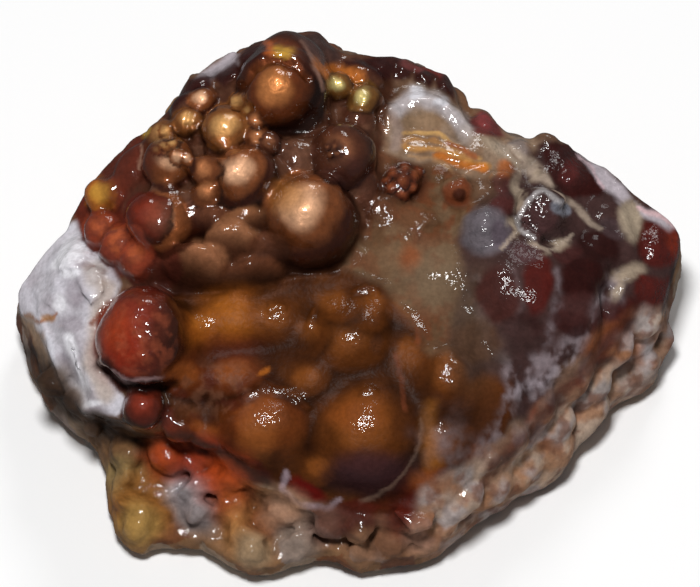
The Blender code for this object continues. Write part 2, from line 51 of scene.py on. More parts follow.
MM = 0.001
FACE_ELEVATION = math.radians(60)
TO_THE_EYE = Vector((0.0, -math.cos(FACE_ELEVATION), math.sin(FACE_ELEVATION)))
STATIONS = 260
FACE_RINGS = 60
CRUST_DROP = 2.6
CRUST_DROP_WIDTH = 1.7
BELLY_BEHIND = 2.6
BELLY_HEIGHT_SHARE = 0.46
FOOT_INSET = 0.93
FOOT_DEPTH = 1.0
SKIRT_HEIGHT = 3.0
PLATE_GIVE = 0.4

# Points across, up and high: how the face looks square on, in millimetres, and the height there.
RIM = [
    (-25.1, 0.3, 7.0), (-24.5, 1.1, 7.4), (-22.9, 3.0, 8.6), (-21.3, 4.7, 9.3),
    (-20.7, 6.5, 10.0), (-19.9, 7.9, 11.0), (-18.8, 9.0, 12.0), (-17.8, 10.0, 12.7),
    (-16.5, 11.9, 13.5), (-15.0, 12.6, 14.2), (-13.6, 14.0, 15.0), (-12.1, 16.5, 15.5),
    (-10.0, 16.4, 15.8), (-8.4, 18.2, 16.2), (-7.2, 19.2, 16.5), (-5.0, 19.6, 17.0),
    (-2.6, 19.9, 16.8), (-1.6, 18.9, 16.4), (-0.3, 17.8, 16.0), (3.3, 18.0, 15.0),
    (5.3, 17.3, 14.5), (7.2, 16.6, 14.0), (7.9, 15.5, 13.8), (8.3, 14.1, 13.5),
    (9.0, 13.2, 13.2), (10.3, 13.7, 13.0), (11.9, 12.0, 13.0), (14.8, 11.4, 12.8),
    (16.3, 11.6, 12.5), (17.4, 10.4, 12.1), (19.3, 9.7, 11.5), (21.5, 7.4, 11.0),
    (24.0, 6.0, 10.3), (25.0, 5.1, 10.0), (25.1, 3.5, 9.5), (24.3, 1.0, 8.7),
    (23.4, -1.5, 8.0),
]
SKIRT = [
    (24.1, -2.3), (23.7, -4.4), (22.6, -6.3), (20.6, -7.3), (19.0, -8.6), (17.5, -10.5),
    (16.2, -12.4), (14.8, -13.8), (12.3, -14.8), (10.5, -16.0), (8.4, -17.7), (6.0, -19.2),
    (3.6, -19.9), (0.5, -19.9), (-2.0, -19.1), (-4.4, -19.8), (-7.0, -20.6), (-9.2, -19.8),
    (-11.2, -18.3), (-13.8, -18.2), (-16.2, -18.6), (-17.6, -17.2), (-18.2, -14.8),
    (-18.3, -12.9), (-19.4, -10.8), (-21.3, -8.7), (-23.2, -7.2), (-24.3, -5.2), (-24.8, -2.2),
]
CRUST_EDGE = [
    (23.0, -2.0, 8.0), (21.0, -2.6, 8.0), (18.5, -5.3, 7.5), (16.0, -8.0, 7.5),
    (13.5, -10.8, 7.0), (10.0, -13.5, 7.0), (7.5, -15.5, 6.5), (5.0, -17.0, 6.0),
    (1.0, -16.8, 6.0), (-2.0, -16.2, 6.5), (-5.0, -14.8, 7.0), (-8.5, -13.2, 8.0),
    (-10.2, -11.5, 8.5), (-12.5, -10.4, 9.0), (-15.5, -10.0, 9.5), (-17.5, -9.4, 9.5),
    (-20.0, -9.0, 8.5), (-22.5, -5.5, 7.5), (-24.3, -2.0, 7.0),
]
SPOT_HEIGHTS = [
    (-10.0, 10.0, 17.0), (-14.0, 8.0, 16.0), (-5.0, 14.0, 17.5), (-3.0, 5.0, 15.5),
    (-12.0, 3.0, 14.5), (-8.0, -2.5, 12.5), (0.0, -4.0, 12.5), (0.0, -10.0, 11.0),
    (-6.0, -10.0, 10.5), (7.0, -6.0, 12.0), (6.0, 3.0, 14.0), (5.0, 10.0, 15.0),
    (12.0, 8.0, 14.0), (13.0, 0.0, 13.0), (18.0, 2.0, 11.5), (16.0, 9.0, 12.5),
    (22.0, 4.0, 10.0), (7.0, -12.0, 9.0), (-15.5, -3.5, 12.0), (-17.0, 4.0, 13.0),
    (-21.0, 0.0, 10.2),
]


def place(across, up, height):
    """The point of this height that shows at this place when the face is seen square on."""
    back = (up - height * math.cos(FACE_ELEVATION)) / math.sin(FACE_ELEVATION)
    return Vector((across, back, height))


def radius_round(outline, angles):
    """How far the outline lies from the middle in these directions."""
    points = np.array([(p[0], p[1]) for p in outline])
    turn = np.arctan2(points[:, 1], points[:, 0])
    reach = np.hypot(points[:, 0], points[:, 1])
    order = np.argsort(turn)
    return np.interp(angles, turn[order], reach[order], period=2 * math.pi)


class Face:
    """A smooth sheet through the known heights, like a bent thin plate."""

    def __init__(self):
        skirt = [(a, u, SKIRT_HEIGHT + CRUST_DROP) for a, u in SKIRT]
        known = np.array(RIM + CRUST_EDGE + SPOT_HEIGHTS + skirt)
        self.knots = known[:, :2]
        count = len(known)
        plate = np.zeros((count + 3, count + 3))
        plate[:count, :count] = self.bend(self.knots) + PLATE_GIVE * np.eye(count)
        plate[:count, count:] = np.hstack([np.ones((count, 1)), self.knots])
        plate[count:, :count] = plate[:count, count:].T
        self.weights = np.linalg.solve(plate, np.append(known[:, 2], (0, 0, 0)))

    def bend(self, points):
        """The plate's bending by each known point."""
        gap = np.linalg.norm(points[:, None, :] - self.knots[None, :, :], axis=2)
        return gap**2 * np.log(gap + 1e-9)

    def height(self, across, up):
        """How high the sheet is at these places, with the step down past the crust."""
        across = np.atleast_1d(np.asarray(across, float))
        up = np.atleast_1d(np.asarray(up, float))
        points = np.stack([across, up], axis=1)
        flat = np.hstack([self.bend(points), np.ones((len(points), 1)), points])
        past = np.clip(past_crust(across, up) / CRUST_DROP_WIDTH, 0, 1)
        return flat @ self.weights - CRUST_DROP * past * past * (3 - 2 * past)


def past_crust(across, up):
    """How far a place lies beyond the edge of the crust, less than 0 inside it."""
    edge = CRUST_EDGE + [(a * 1.1, u * 1.1) for a, u, _ in RIM]
    return np.hypot(across, up) - radius_round(edge, np.arctan2(up, across))


def stone_body(face):
    """Rings over the face, a belly and a foot, closed top and bottom."""
    angles = np.linspace(-math.pi, math.pi, STATIONS, endpoint=False)
    reach = radius_round(RIM + SKIRT, angles)
    rings = []
    for ring in range(1, FACE_RINGS + 1):
        share = ring / FACE_RINGS
        across = reach * share * np.cos(angles)
        up = reach * share * np.sin(angles)
        heights = face.height(across, up)
        rings.append([place(a, u, h) for a, u, h in zip(across, up, heights)])
    belly = []
    for point, angle in zip(rings[-1], angles):
        behind = BELLY_BEHIND * max(0.0, math.sin(angle)) ** 0.5
        belly.append(Vector((point.x, point.y + behind, point.z * BELLY_HEIGHT_SHARE)))
    foot = [Vector((p.x * FOOT_INSET, p.y * FOOT_INSET, -FOOT_DEPTH)) for p in belly]
    rings += [belly, foot]
    body = bmesh.new()
    middle = body.verts.new(place(0.0, 0.0, float(face.height(0.0, 0.0)[0])))
    loops = [[body.verts.new(p) for p in ring] for ring in rings]
    for side in range(STATIONS):
        after = (side + 1) % STATIONS
        body.faces.new((middle, loops[0][side], loops[0][after]))
        for inner, outer in zip(loops, loops[1:]):
            body.faces.new((inner[side], outer[side], outer[after], inner[after]))
    body.faces.new(reversed(loops[-1]))
    return body


face = Face()
body = stone_body(face)

# The white end. A broken lump of clear to milky quartz that the crust grew against. Its faces are
# flat breaks, ice white with painted highlights on the upper facets, lilac and beige where the
# stone below shows.


def seat(across, up, stand):
    """The point that stands this far off the face towards the eye."""
    return place(across, up, float(face.height(across, up)[0])) + stand * TO_THE_EYE


def close_hull(verts):
    """Wrap a hull round new corners and drop the corners left inside it."""
    hull = bmesh.ops.convex_hull(body, input=verts)
    loose = {v for v in hull["geom_interior"] + hull["geom_unused"] if isinstance(v, bmesh.types.BMVert)}
    bmesh.ops.delete(body, geom=list(loose), context="VERTS")


def block(corners, sink=2.0):
    """A broken block: the hull of corners across, up and stand, rooted inside the stone."""
    verts = [body.verts.new(seat(*corner)) for corner in corners]
    a = sum(c[0] for c in corners) / len(corners)
    u = sum(c[1] for c in corners) / len(corners)
    verts.append(body.verts.new(seat(a, u, -sink)))
    close_hull(verts)


def colour(red, green, blue):
    """A colour as the eye reads it, 0 to 255, made linear for the shader."""
    return np.array([((c / 255 + 0.055) / 1.055) ** 2.4 for c in (red, green, blue)])


def step(value, low, high):
    """0 below low, 1 above high, and a smooth rise between."""
    share = np.clip((value - low) / (high - low), 0, 1)
    return share * share * (3 - 2 * share)


marks = []


def mark(mask, shade, opacity=1.0, metal=None, dull=None):
    """Keep a mark, a colour or a shading on a mask, until the lumps are one skin."""
    marks.append((mask, shade if callable(shade) else colour(*shade), opacity, metal, dull))


def distance(sides, across, up):
    """How far places lie from the nearest of these straight sides."""
    nearest = np.full(len(across), 1e9)
    for (ax, ay), (bx, by) in sides:
        dx, dy = bx - ax, by - ay
        share = np.clip(((across - ax) * dx + (up - ay) * dy) / (dx * dx + dy * dy), 0, 1)
        nearest = np.minimum(nearest, np.hypot(across - ax - share * dx, up - ay - share * dy))
    return nearest


def turned(x, y, degrees):
    """Places as seen from axes turned by this angle."""
    c, s = math.cos(math.radians(degrees)), math.sin(math.radians(degrees))
    return x * c + y * s, -x * s + y * c


def patch(outline, soft=0.7):
    """A mask: 1 inside an outline on the face, 0 outside, with a soft wandering border."""
    corners = np.array(outline, float)
    sides = list(zip(corners, np.roll(corners, -1, axis=0)))

    def mask(skin):
        nearest = distance(sides, skin.a, skin.u)
        odd = np.zeros(len(skin.a), bool)
        for (ax, ay), (bx, by) in sides:
            crosses = (ay > skin.u) != (by > skin.u)
            odd ^= crosses & (skin.a < (bx - ax) * (skin.u - ay) / (by - ay + 1e-12) + ax)
        return step(np.where(odd, nearest, -nearest), -soft / 2, soft / 2) * skin.shown

    return mask


def oval(across, up, wide, high=None, turn=0.0, soft=0.4):
    """A mask with these half widths."""

    def mask(skin):
        x, y = turned(skin.a - across, skin.u - up, turn)
        return (1 - step(np.hypot(x / wide, y / (high or wide)), 1 - soft, 1 + soft)) * skin.shown

    return mask


def vein(route, width, soft=0.6):
    """A mask along a line of points."""

    def mask(skin):
        nearest = distance(zip(route, route[1:]), skin.a, skin.u)
        return (1 - step(nearest, width * (1 - soft) / 2, width * (1 + soft) / 2)) * skin.shown

    return mask


def cloudy(mask, size, amount, seed, stretch=None, soft=0.25):
    """The same mask, eaten away by smooth noise with patches of about this size."""

    def eaten(skin):
        cloud = skin.rumple(size, 3, seed, stretch)
        return mask(skin) * step(cloud, amount - soft, amount + soft)

    return eaten


WHITE_END = [
    (-25.6, 0.3), (-24.0, 2.4), (-22.0, 4.5), (-20.6, 5.4), (-19.9, 5.0), (-19.6, 3.9),
    (-19.0, 3.2), (-18.3, 2.5), (-17.8, 2.0), (-17.4, 1.3), (-17.3, 0.6), (-17.8, -0.8),
    (-18.4, -2.3), (-18.9, -4.2), (-18.6, -5.9), (-17.4, -6.9), (-16.6, -8.2),
    (-17.3, -8.8), (-19.3, -9.1), (-20.2, -8.9), (-21.7, -7.0), (-22.7, -5.0),
    (-23.3, -3.0), (-25.2, -1.2),
]
white_end = patch(WHITE_END, 0.5)
block([
    (-24.9, 0.3, -0.6), (-23.8, 2.0, -0.4), (-21.9, 4.0, -0.3), (-20.3, 4.9, -0.2),
    (-19.2, 3.2, 0.2), (-17.7, 1.6, 0.3), (-17.6, -0.6, 0.2), (-18.6, -2.6, 0.0),
    (-22.0, -2.6, 0.1), (-24.4, -1.3, -0.6), (-21.6, 3.0, 1.1), (-20.2, 2.6, 1.5),
    (-19.4, 0.6, 1.9), (-21.2, 0.0, 1.7), (-23.0, 0.6, 0.8), (-22.8, -0.9, 0.8),
], 2.5)
block([
    (-19.2, -1.4, 0.8), (-21.6, -2.2, 0.9), (-23.2, -2.9, -0.5), (-22.6, -5.0, -0.9),
    (-21.4, -7.2, -1.2), (-19.8, -8.9, -0.9), (-17.5, -8.6, -0.6), (-17.0, -7.4, -0.2),
    (-18.6, -5.6, 0.4), (-18.8, -3.2, 0.9), (-20.4, -3.0, 1.3), (-20.9, -5.4, 0.8),
    (-19.3, -7.0, 0.5),
], 2.5)
block([
    (-23.9, -1.6, 0.2), (-24.6, -1.9, -0.6), (-24.0, -3.6, -0.9), (-23.0, -4.9, -0.8),
    (-22.6, -3.4, 0.2), (-23.2, -2.0, 0.6),
], 1.5)
for corners in [
    [
        (-22.3, 3.0, 0.6), (-20.6, 4.4, 0.5), (-19.7, 3.2, 1.0), (-20.6, 1.9, 2.3), (-22.0, 1.7, 1.7),
        (-21.2, 3.0, 1.9),
    ],
    [(-20.6, 1.6, 1.8), (-18.9, 2.0, 1.2), (-18.4, 0.2, 1.4), (-19.6, -0.9, 1.6), (-20.4, 0.3, 2.5)],
    [(-23.9, 0.4, 0.3), (-22.4, 1.6, 1.1), (-21.6, 0.2, 2.1), (-22.6, -0.9, 1.4), (-23.6, -0.4, 0.9)],
    [(-22.6, -3.0, 0.4), (-21.0, -3.4, 1.5), (-20.4, -5.6, 1.4), (-21.6, -6.6, 0.4), (-22.6, -4.6, 0.2)],
]:
    block(corners, 1.5)
mark(white_end, (202, 197, 204), dull=0.32)
mark(cloudy(white_end, 3.4, 0.1, 21), (168, 158, 165), 0.6)
mark(cloudy(white_end, 2.0, 0.2, 22), (216, 213, 221), 0.6)
# Ice white spots on the upper facets and ridges: the milky quartz, with painted highlights on it.
for a, u, wide, high in [
    (-20.7, 3.2, 1.0, 0.9), (-21.6, 2.4, 0.8, 0.6), (-22.2, 2.2, 0.4, 0.5),
    (-20.9, 1.5, 0.7, 0.5), (-22.0, -0.7, 0.5, 0.6), (-20.9, -3.9, 0.5, 1.2),
    (-20.2, -6.6, 0.5, 1.6), (-19.4, -8.2, 0.9, 0.3),
]:
    mark(oval(a, u, wide, high, 15), (246, 244, 249), 0.85)
mark(oval(-20.5, 0.0, 0.9, 1.2), (142, 130, 138), 0.6)
mark(oval(-21.0, -2.3, 1.2, 0.7), (150, 138, 146), 0.6)
mark(oval(-19.0, 1.5, 0.9, 1.2), (176, 162, 150), 0.6)
mark(vein([(-18.3, 0.4), (-18.9, -2.4), (-19.2, -5.2), (-18.3, -7.4)], 1.4), (178, 160, 146), 0.75)
mark(vein([(-18.2, -0.9), (-18.7, -1.7), (-19.3, -2.2)], 0.5), (120, 62, 36), 0.8)
mark(vein([(-24.5, -1.6), (-23.4, -2.3), (-22.5, -1.8), (-22.3, -1.4)], 0.3), (150, 92, 50), 0.85)
mark(oval(-22.8, -1.9, 0.5, 0.35), (176, 128, 84), 0.8)
mark(vein([(-24.4, -2.0), (-23.6, -3.4), (-22.9, -5.0)], 0.9), (150, 126, 104), 0.7)
mark(vein([(-22.8, -3.2), (-21.6, -5.7), (-19.9, -8.6)], 0.35), (226, 224, 232), 0.8)
mark(oval(-20.7, -5.7, 0.35, 1.6, 25), (112, 104, 112), 0.7)

# The bronze bubbles. Balls of chalcedony with skins of brown iron oxide just under a clear film,
# which gives them the soft bronze and gold sheen. They touch and press on each other, with brown
# chalcedony filling the gaps between them. Each ball is also painted lighter above its middle and
# darker round its foot: painted light and shade.

lumps = []


def lump(across, up, wide, high=None, turn=0.0, lift=0.0, bulge=None, tilt=0.0):
    """One ball or swell: half widths in the picture, and how far its middle and top stand off."""
    high = high or wide
    bulge = bulge or min(wide, high)
    lumps.append((across, up, wide, high, turn, lift, bulge, tilt))


BRONZE_FIELD = [
    (-17.0, 6.5), (-15.8, 9.0), (-16.0, 12.0), (-12.5, 16.3), (-9.0, 16.8), (-6.5, 20.0),
    (-2.5, 20.5), (-0.4, 18.0), (3.0, 18.0), (3.2, 13.5), (2.5, 10.5), (3.0, 7.5),
    (1.2, 4.5), (-0.5, 1.8), (-3.5, 1.2), (-7.5, 0.2), (-11.0, -0.2), (-14.5, 1.4),
    (-16.0, 3.5),
]
bronze_field = patch(BRONZE_FIELD)
mark(bronze_field, (78, 45, 30), metal=0.15, dull=0.45)
mark(cloudy(bronze_field, 2.0, 0.1, 31), (108, 72, 54), 0.55)
mark(cloudy(bronze_field, 1.6, 0.15, 32), (70, 36, 24), 0.6)
# A dark band of painted shade in the hollow beneath the bubbles, above the amber terrace.
mark(vein([(-12.5, 3.6), (-10.4, -0.2), (-7.5, 0.5), (-3.5, 1.2), (0.4, 3.2)], 2.2), (52, 27, 14), 0.85)
mark(oval(-6.2, 1.8, 2.6, 1.3), (48, 25, 13), 0.7)

# Each finish: its painted lit tone, which also stands in for a highlight, its middle tone and its painted
# shade tone, how metallic it is and how dull.
BRONZE = (224, 172, 134), (132, 74, 40), (56, 23, 12), 0.36, 0.44
GOLD = (214, 160, 98), (134, 80, 38), (52, 25, 10), 0.4, 0.48
GREEN_GOLD = (206, 188, 122), (120, 80, 38), (54, 28, 12), 0.4, 0.42
CROWN = (196, 124, 70), (106, 52, 24), (32, 12, 7), 0.36, 0.42
COPPER = (176, 112, 70), (110, 60, 32), (44, 20, 10), 0.3, 0.5
BROWN = (124, 76, 50), (76, 40, 26), (32, 14, 9), 0.2, 0.5
PETAL = (146, 94, 62), (96, 56, 34), (40, 18, 10), 0.12, 0.6
SHELL = (78, 38, 24), (54, 23, 14), (22, 9, 6), 0.0, 0.3


def painted_light_ramp(across, up, wide, high, turn, painted_light_tones, rise=0.18):
    """Painted light and shade: lit a little above and left of the middle, darker round the foot."""
    painted_lit, middle, painted_dark = (colour(*tone) for tone in painted_light_tones)
    knee = 0.78

    def shade(skin):
        x, y = turned(skin.a - across + 0.1 * wide, skin.u - up - rise * high, turn)
        reach = np.hypot(x / wide, y / high)
        top = np.sqrt(np.clip(1 - reach * reach, 0, 1))[:, None]
        return np.where(
            top > knee,
            middle + step(top, knee, 1.0) * (painted_lit - middle),
            painted_dark + step(top, 0.1, knee) * (middle - painted_dark),
        )

    return shade


def bubble(across, up, radius, lift, finish, high=None, bulge=None):
    """A ball with its finish laid over it, a hair wider than the ball, in painted light and shade: lit above
    the middle, dark round the foot.
    """
    *painted_light_tones, metal, dull = finish
    high = high or radius
    lump(across, up, radius, high, 0.0, lift, bulge or min(radius, high))
    mark(
        oval(across, up, radius * 1.02, high * 1.02, 0.0, 0.06),
        painted_light_ramp(across, up, radius * 1.04, high * 1.04, 0.0, painted_light_tones), 0.92, metal, dull,
    )


# The hood and crown balls are laid with painted light and shade from their finishes.
bubble(-5.0, 15.4, 3.6, 0.1, SHELL)
bubble(-4.6, 16.8, 2.9, 0.1, SHELL)
bubble(-5.3, 15.0, 2.8, 1.0, CROWN)
mark(oval(-5.2, 18.4, 1.25, 0.75, -8, 0.5), (104, 52, 28), 0.9)
mark(oval(-5.3, 18.3, 1.0, 0.45, -8, 0.5), (186, 142, 56), 0.9)
mark(oval(-6.3, 18.5, 0.55, 0.6, 40, 0.5), (176, 88, 40), 0.85)
# A pale streak down the dark hood right of the crown ball: a painted highlight.
mark(vein([(-3.6, 18.9), (-2.6, 17.4), (-2.2, 15.2)], 0.35), (150, 112, 96), 0.6)
mark(vein([(-2.0, 17.6), (-1.2, 16.5), (0.0, 16.7), (0.5, 15.4)], 1.2), (182, 104, 42), 0.9)
for a, u, wide, high, turn, lift, bulge in [
    (-9.1, 8.2, 2.6, 2.5, 0, -0.1, 2.2), (-7.3, 12.0, 1.5, 1.5, 0, 0.0, 1.2),
    (-12.3, 13.9, 1.6, 1.2, 35, -0.2, 1.2), (-5.9, 8.0, 1.5, 2.2, 20, -0.3, 1.3),
    (-5.7, 4.6, 1.8, 1.9, 0, -0.3, 1.2), (-11.9, 6.3, 1.2, 1.7, 20, -0.2, 1.4),
    (-4.0, 10.0, 1.8, 1.7, 0, -0.4, 1.3), (-2.9, 13.0, 1.5, 1.8, 0, -0.4, 1.3),
    (0.4, 12.6, 1.6, 1.8, 0, -0.4, 1.3), (-15.9, 9.6, 1.4, 2.6, -40, -0.3, 1.4),
    (-14.9, 2.2, 1.5, 1.2, 20, -0.3, 1.2), (0.9, 7.4, 1.4, 2.0, 0, -0.4, 1.2),
    (-13.6, 7.4, 1.4, 1.0, -20, 0.0, 1.1), (1.0, 16.2, 1.6, 1.0, -10, -0.1, 1.0),
]:
    lump(a, u, wide, high, turn, lift, bulge)
# Each ball here is laid with painted light and shade: lit above its middle, dark round its foot.
for across, up, radius, lift, finish in [
    (-9.4, 11.3, 1.6, 0.3, BROWN), (-9.2, 12.3, 1.9, 0.7, GOLD), (-6.9, 11.6, 1.1, 0.5, COPPER),
    (-7.8, 8.5, 2.6, 0.3, BROWN), (-8.2, 8.8, 2.25, 0.95, BRONZE), (-10.7, 9.2, 1.3, 0.6, COPPER),
    (-10.6, 7.5, 1.25, 0.5, COPPER), (-13.6, 9.8, 2.0, 0.6, BRONZE), (-14.1, 11.6, 1.45, 0.4, GOLD),
    (-12.1, 12.7, 1.2, 0.6, GOLD), (-11.1, 14.6, 1.1, 0.4, BRONZE), (-8.4, 14.4, 0.7, 0.9, GOLD),
    (-7.7, 13.8, 0.6, 1.1, GOLD), (-7.1, 13.0, 0.75, 0.9, COPPER), (-5.9, 11.3, 0.9, 0.4, BROWN),
    (-3.0, 5.2, 3.7, -0.6, BROWN), (-3.2, 5.8, 3.35, 0.4, BRONZE), (-0.5, 10.3, 2.45, 0.5, BROWN),
    (-0.9, 15.6, 1.1, 0.6, GREEN_GOLD), (1.1, 14.6, 1.3, 0.6, GREEN_GOLD),
]:
    bubble(across, up, radius, lift, finish)
mark(oval(-4.6, 7.2, 1.1, 1.2, 0, 0.7), (196, 130, 58), 0.5)
# An arc of painted shade under the large bronze ball.
mark(vein([(-6.0, 5.2), (-5.0, 3.6), (-3.2, 2.8), (-1.4, 3.2), (-0.4, 4.4)], 1.6, 1.0), (58, 26, 14), 0.6)
mark(oval(-0.2, 9.2, 1.7, 1.2, 0, 0.6), (64, 34, 30), 0.6)
# A dark patch of painted shade round and between the five berries.
mark(oval(-1.15, 10.7, 0.95, 0.75, 0, 0.4), (46, 22, 16), 0.85, 0.0)

# The petals. Shells of bubbles that broke off along their upper edges, painted lit there and painted
# shade below. The lower ones lie over the upper ones like roof tiles, under the bronze bubbles.


def petal(across, up, wide, high, turn, lift, tilt, painted_lit, painted_dark):
    """One shell, with a painted lit tone along its upper edge and painted shade at its foot."""
    lump(across, up, wide, high, turn, lift, 0.9, tilt)
    light, painted_shade_tone = colour(*painted_lit), colour(*painted_dark)

    def shade(skin):
        y = turned(skin.a - across, skin.u - up, turn)[1] / high
        return painted_shade_tone + (step(y, -0.6, 1.0) ** 1.5)[:, None] * (light - painted_shade_tone)

    mark(oval(across, up - 0.15 * high, wide * 1.05, high * 1.1, turn, 0.12), shade, 0.95, 0.12, 0.55)


# Each petal: place, size, turn, lift, tilt, then its painted lit tone and its painted shade tone.
for placed in [
    (-12.0, 5.4, 1.6, 1.2, -18, 0.2, 30, (92, 50, 32), (44, 20, 12)),
    (-10.4, 5.4, 1.6, 1.3, -12, 0.3, 34, (108, 62, 40), (46, 20, 12)),
    (-7.9, 5.2, 2.0, 1.3, 12, 0.3, 34, (140, 90, 58), (58, 29, 16)),
    (-8.8, 3.5, 2.4, 2.0, -8, 0.5, 36, (154, 102, 70), (54, 26, 14)),
    (-6.0, 2.8, 1.7, 1.8, 14, 0.1, 30, (100, 58, 38), (44, 21, 12)),
    (-11.4, 1.7, 2.8, 2.4, -18, 0.5, 36, (150, 98, 67), (46, 21, 11)),
    (-7.4, 1.0, 2.5, 2.0, 6, 0.1, 30, (92, 52, 32), (38, 19, 10)),
    (-14.6, 2.0, 2.0, 1.6, 20, 0.0, 26, (124, 58, 42), (62, 26, 18)),
]:
    petal(*placed)
# Painted shadow along the foot of the petals, over the top of the amber terrace.
mark(vein([(-11.5, -0.9), (-8.5, -0.7), (-5.5, 0.2), (-2.6, 1.2), (0.2, 2.4)], 1.8, 1.0), (48, 24, 12), 0.75)

# The small bubbles. Late growth of the same brown chalcedony: six beads on the larger bubbles,
# and a ring of five berries on the dark one.


def stand_at(across, up):
    """How far the highest lump already there stands off the face."""
    highest = 0.0
    for a, u, wide, high, turn, lift, bulge, _ in lumps:
        x, y = turned(across - a, up - u, turn)
        x, y = x / wide, y / high
        if x * x + y * y < 1:
            highest = max(highest, lift + bulge * math.sqrt(1 - x * x - y * y))
    return highest


# Each bead and berry is laid with painted light and shade: lit above its middle, dark round its foot.
for a, u, radius, finish in [
    (-13.1, 10.2, 0.75, BRONZE), (-12.2, 10.1, 0.6, BRONZE), (-13.9, 11.1, 0.45, GOLD),
    (-13.4, 11.3, 0.4, GOLD), (-13.7, 12.1, 0.6, GOLD), (-14.6, 10.7, 0.5, GOLD),
    (-1.15, 11.15, 0.3, BROWN), (-1.75, 10.9, 0.28, BROWN), (-1.55, 10.35, 0.28, BROWN),
    (-0.95, 10.5, 0.3, BROWN), (-0.45, 10.75, 0.28, BROWN),
]:
    bubble(a, u, radius, stand_at(a, u) - 0.45 * radius, finish)

# The cherry bubbles. Clear red chalcedony over dark iron, along the left edge: one large ball in
# the hollow of the white end, a smaller one held in a bronze crescent, and a strip of orange ones.

# Each finish: its painted lit tone, middle tone and painted shade tone, how metallic it is and how dull.
CHERRY = (120, 38, 22), (84, 24, 14), (34, 11, 8), 0.0, 0.28
ORANGE = (166, 82, 48), (134, 56, 34), (78, 30, 20), 0.0, 0.3
YELLOW = (214, 158, 62), (170, 98, 34), (104, 44, 16), 0.0, 0.22
DARK_RED = (92, 36, 26), (66, 24, 18), (32, 12, 9), 0.0, 0.28
mark(patch([
    (-21.5, 7.5), (-19.0, 10.5), (-16.8, 13.0), (-15.2, 12.8), (-15.8, 9.0), (-17.0, 6.5),
    (-16.0, 3.5), (-15.0, 1.6), (-17.3, 1.0), (-18.0, 2.2), (-19.5, 3.8), (-20.6, 5.0),
]), (96, 36, 22), dull=0.3)
for across, up, radius, lift, finish in [
    (-14.1, 5.2, 2.5, 0.1, BRONZE), (-15.0, 5.6, 2.0, 0.9, CHERRY), (-17.7, 7.6, 1.2, 0.0, ORANGE),
    (-18.7, 7.3, 1.4, 0.3, YELLOW), (-18.6, 4.8, 1.6, -0.2, ORANGE), (-17.1, 3.5, 1.7, -0.2, ORANGE),
    (-16.0, 2.5, 1.5, -0.2, ORANGE), (-15.4, -8.5, 1.6, 0.2, CHERRY), (-12.7, -9.6, 1.5, 0.0, DARK_RED),
]:
    bubble(across, up, radius, lift, finish)
mark(oval(-16.6, 9.8, 2.0, 3.2, -40, 0.4), (84, 36, 24), 0.85)
bubble(-15.4, -3.5, 3.6, 1.0, CHERRY, high=4.0, bulge=3.5)
mark(oval(-17.4, -4.2, 1.6, 2.2, 0, 0.6), (132, 38, 17), 0.8)
mark(oval(-16.2, -1.5, 1.6, 1.1, 0, 0.6), (128, 46, 30), 0.7)
# Painted shade over the right side of the large cherry ball, away from the lamp.
mark(oval(-13.2, -3.5, 1.8, 3.2, 0, 0.6), (66, 28, 18), 0.85)
mark(oval(-12.5, -3.8, 1.3, 3.4, 0, 0.8), (42, 20, 13), 0.9)
mark(oval(-17.6, -2.6, 1.0, 1.5, -20, 0.7), (146, 54, 24), 0.7)
mark(cloudy(oval(-15.8, -3.4, 2.6, 3.0, 0, 0.5), 0.9, 0.15, 33), (150, 74, 48), 0.45)
# Painted shadow along the foot of the large cherry ball.
shadow_under_ball = [(-18.4, -5.4), (-17.0, -6.5), (-15.2, -7.0), (-13.4, -6.5), (-12.4, -5.0)]
mark(vein(shadow_under_ball, 1.1), (34, 14, 11), 0.9)
# A painted highlight along the rim of the clear film below the ball.
mark(vein([(-17.9, -5.7), (-16.6, -6.4), (-15.2, -6.6), (-13.8, -6.2)], 0.28), (150, 120, 120), 0.6)
mark(cloudy(oval(-17.6, 4.2, 2.2, 3.0, -30, 0.6), 0.8, 0.0, 34), (96, 42, 34), 0.6)
# A painted highlight along the edge of the dark red ridge.
mark(vein([(-16.0, 9.5), (-15.6, 10.4), (-15.5, 11.2)], 0.2), (168, 130, 108), 0.5)
mark(oval(-15.3, 12.3, 0.35, 0.5), (200, 160, 70), 0.8)

# The amber terrace. Broad swells under clear honey coloured chalcedony, below the bronze field.
# The swells show through soft: orange where the layer is thin, umber where it is thick. Each swell
# is also painted lighter at its top and darker round its foot: painted light and shade.

AMBER_FIELD = [
    (-13.5, -0.3), (-11.0, -0.2), (-7.5, 0.2), (-3.5, 1.2), (-0.5, 1.8), (2.6, 1.0),
    (4.6, -1.5), (6.0, -4.5), (9.0, -6.0), (12.0, -6.5), (12.5, -9.0), (10.0, -13.0),
    (7.5, -15.2), (5.0, -16.6), (1.0, -16.4), (-2.0, -15.6), (-5.0, -14.2), (-8.5, -12.5),
    (-10.2, -10.5), (-13.0, -9.2), (-13.8, -6.0), (-12.2, -4.0),
]
amber_field = patch(AMBER_FIELD)
mark(amber_field, (76, 39, 15), dull=0.45)
mark(cloudy(amber_field, 3.0, 0.0, 41), (60, 29, 13), 0.8)
mark(cloudy(amber_field, 1.8, 0.2, 42), (96, 54, 27), 0.5)
# Each: its painted lit tone, its middle tone and its painted shade tone.
HONEY = (150, 88, 28), (112, 58, 18), (56, 26, 9)
UMBER = (120, 66, 26), (82, 42, 15), (40, 19, 7)
RUSSET = (130, 68, 30), (92, 42, 17), (42, 18, 8)
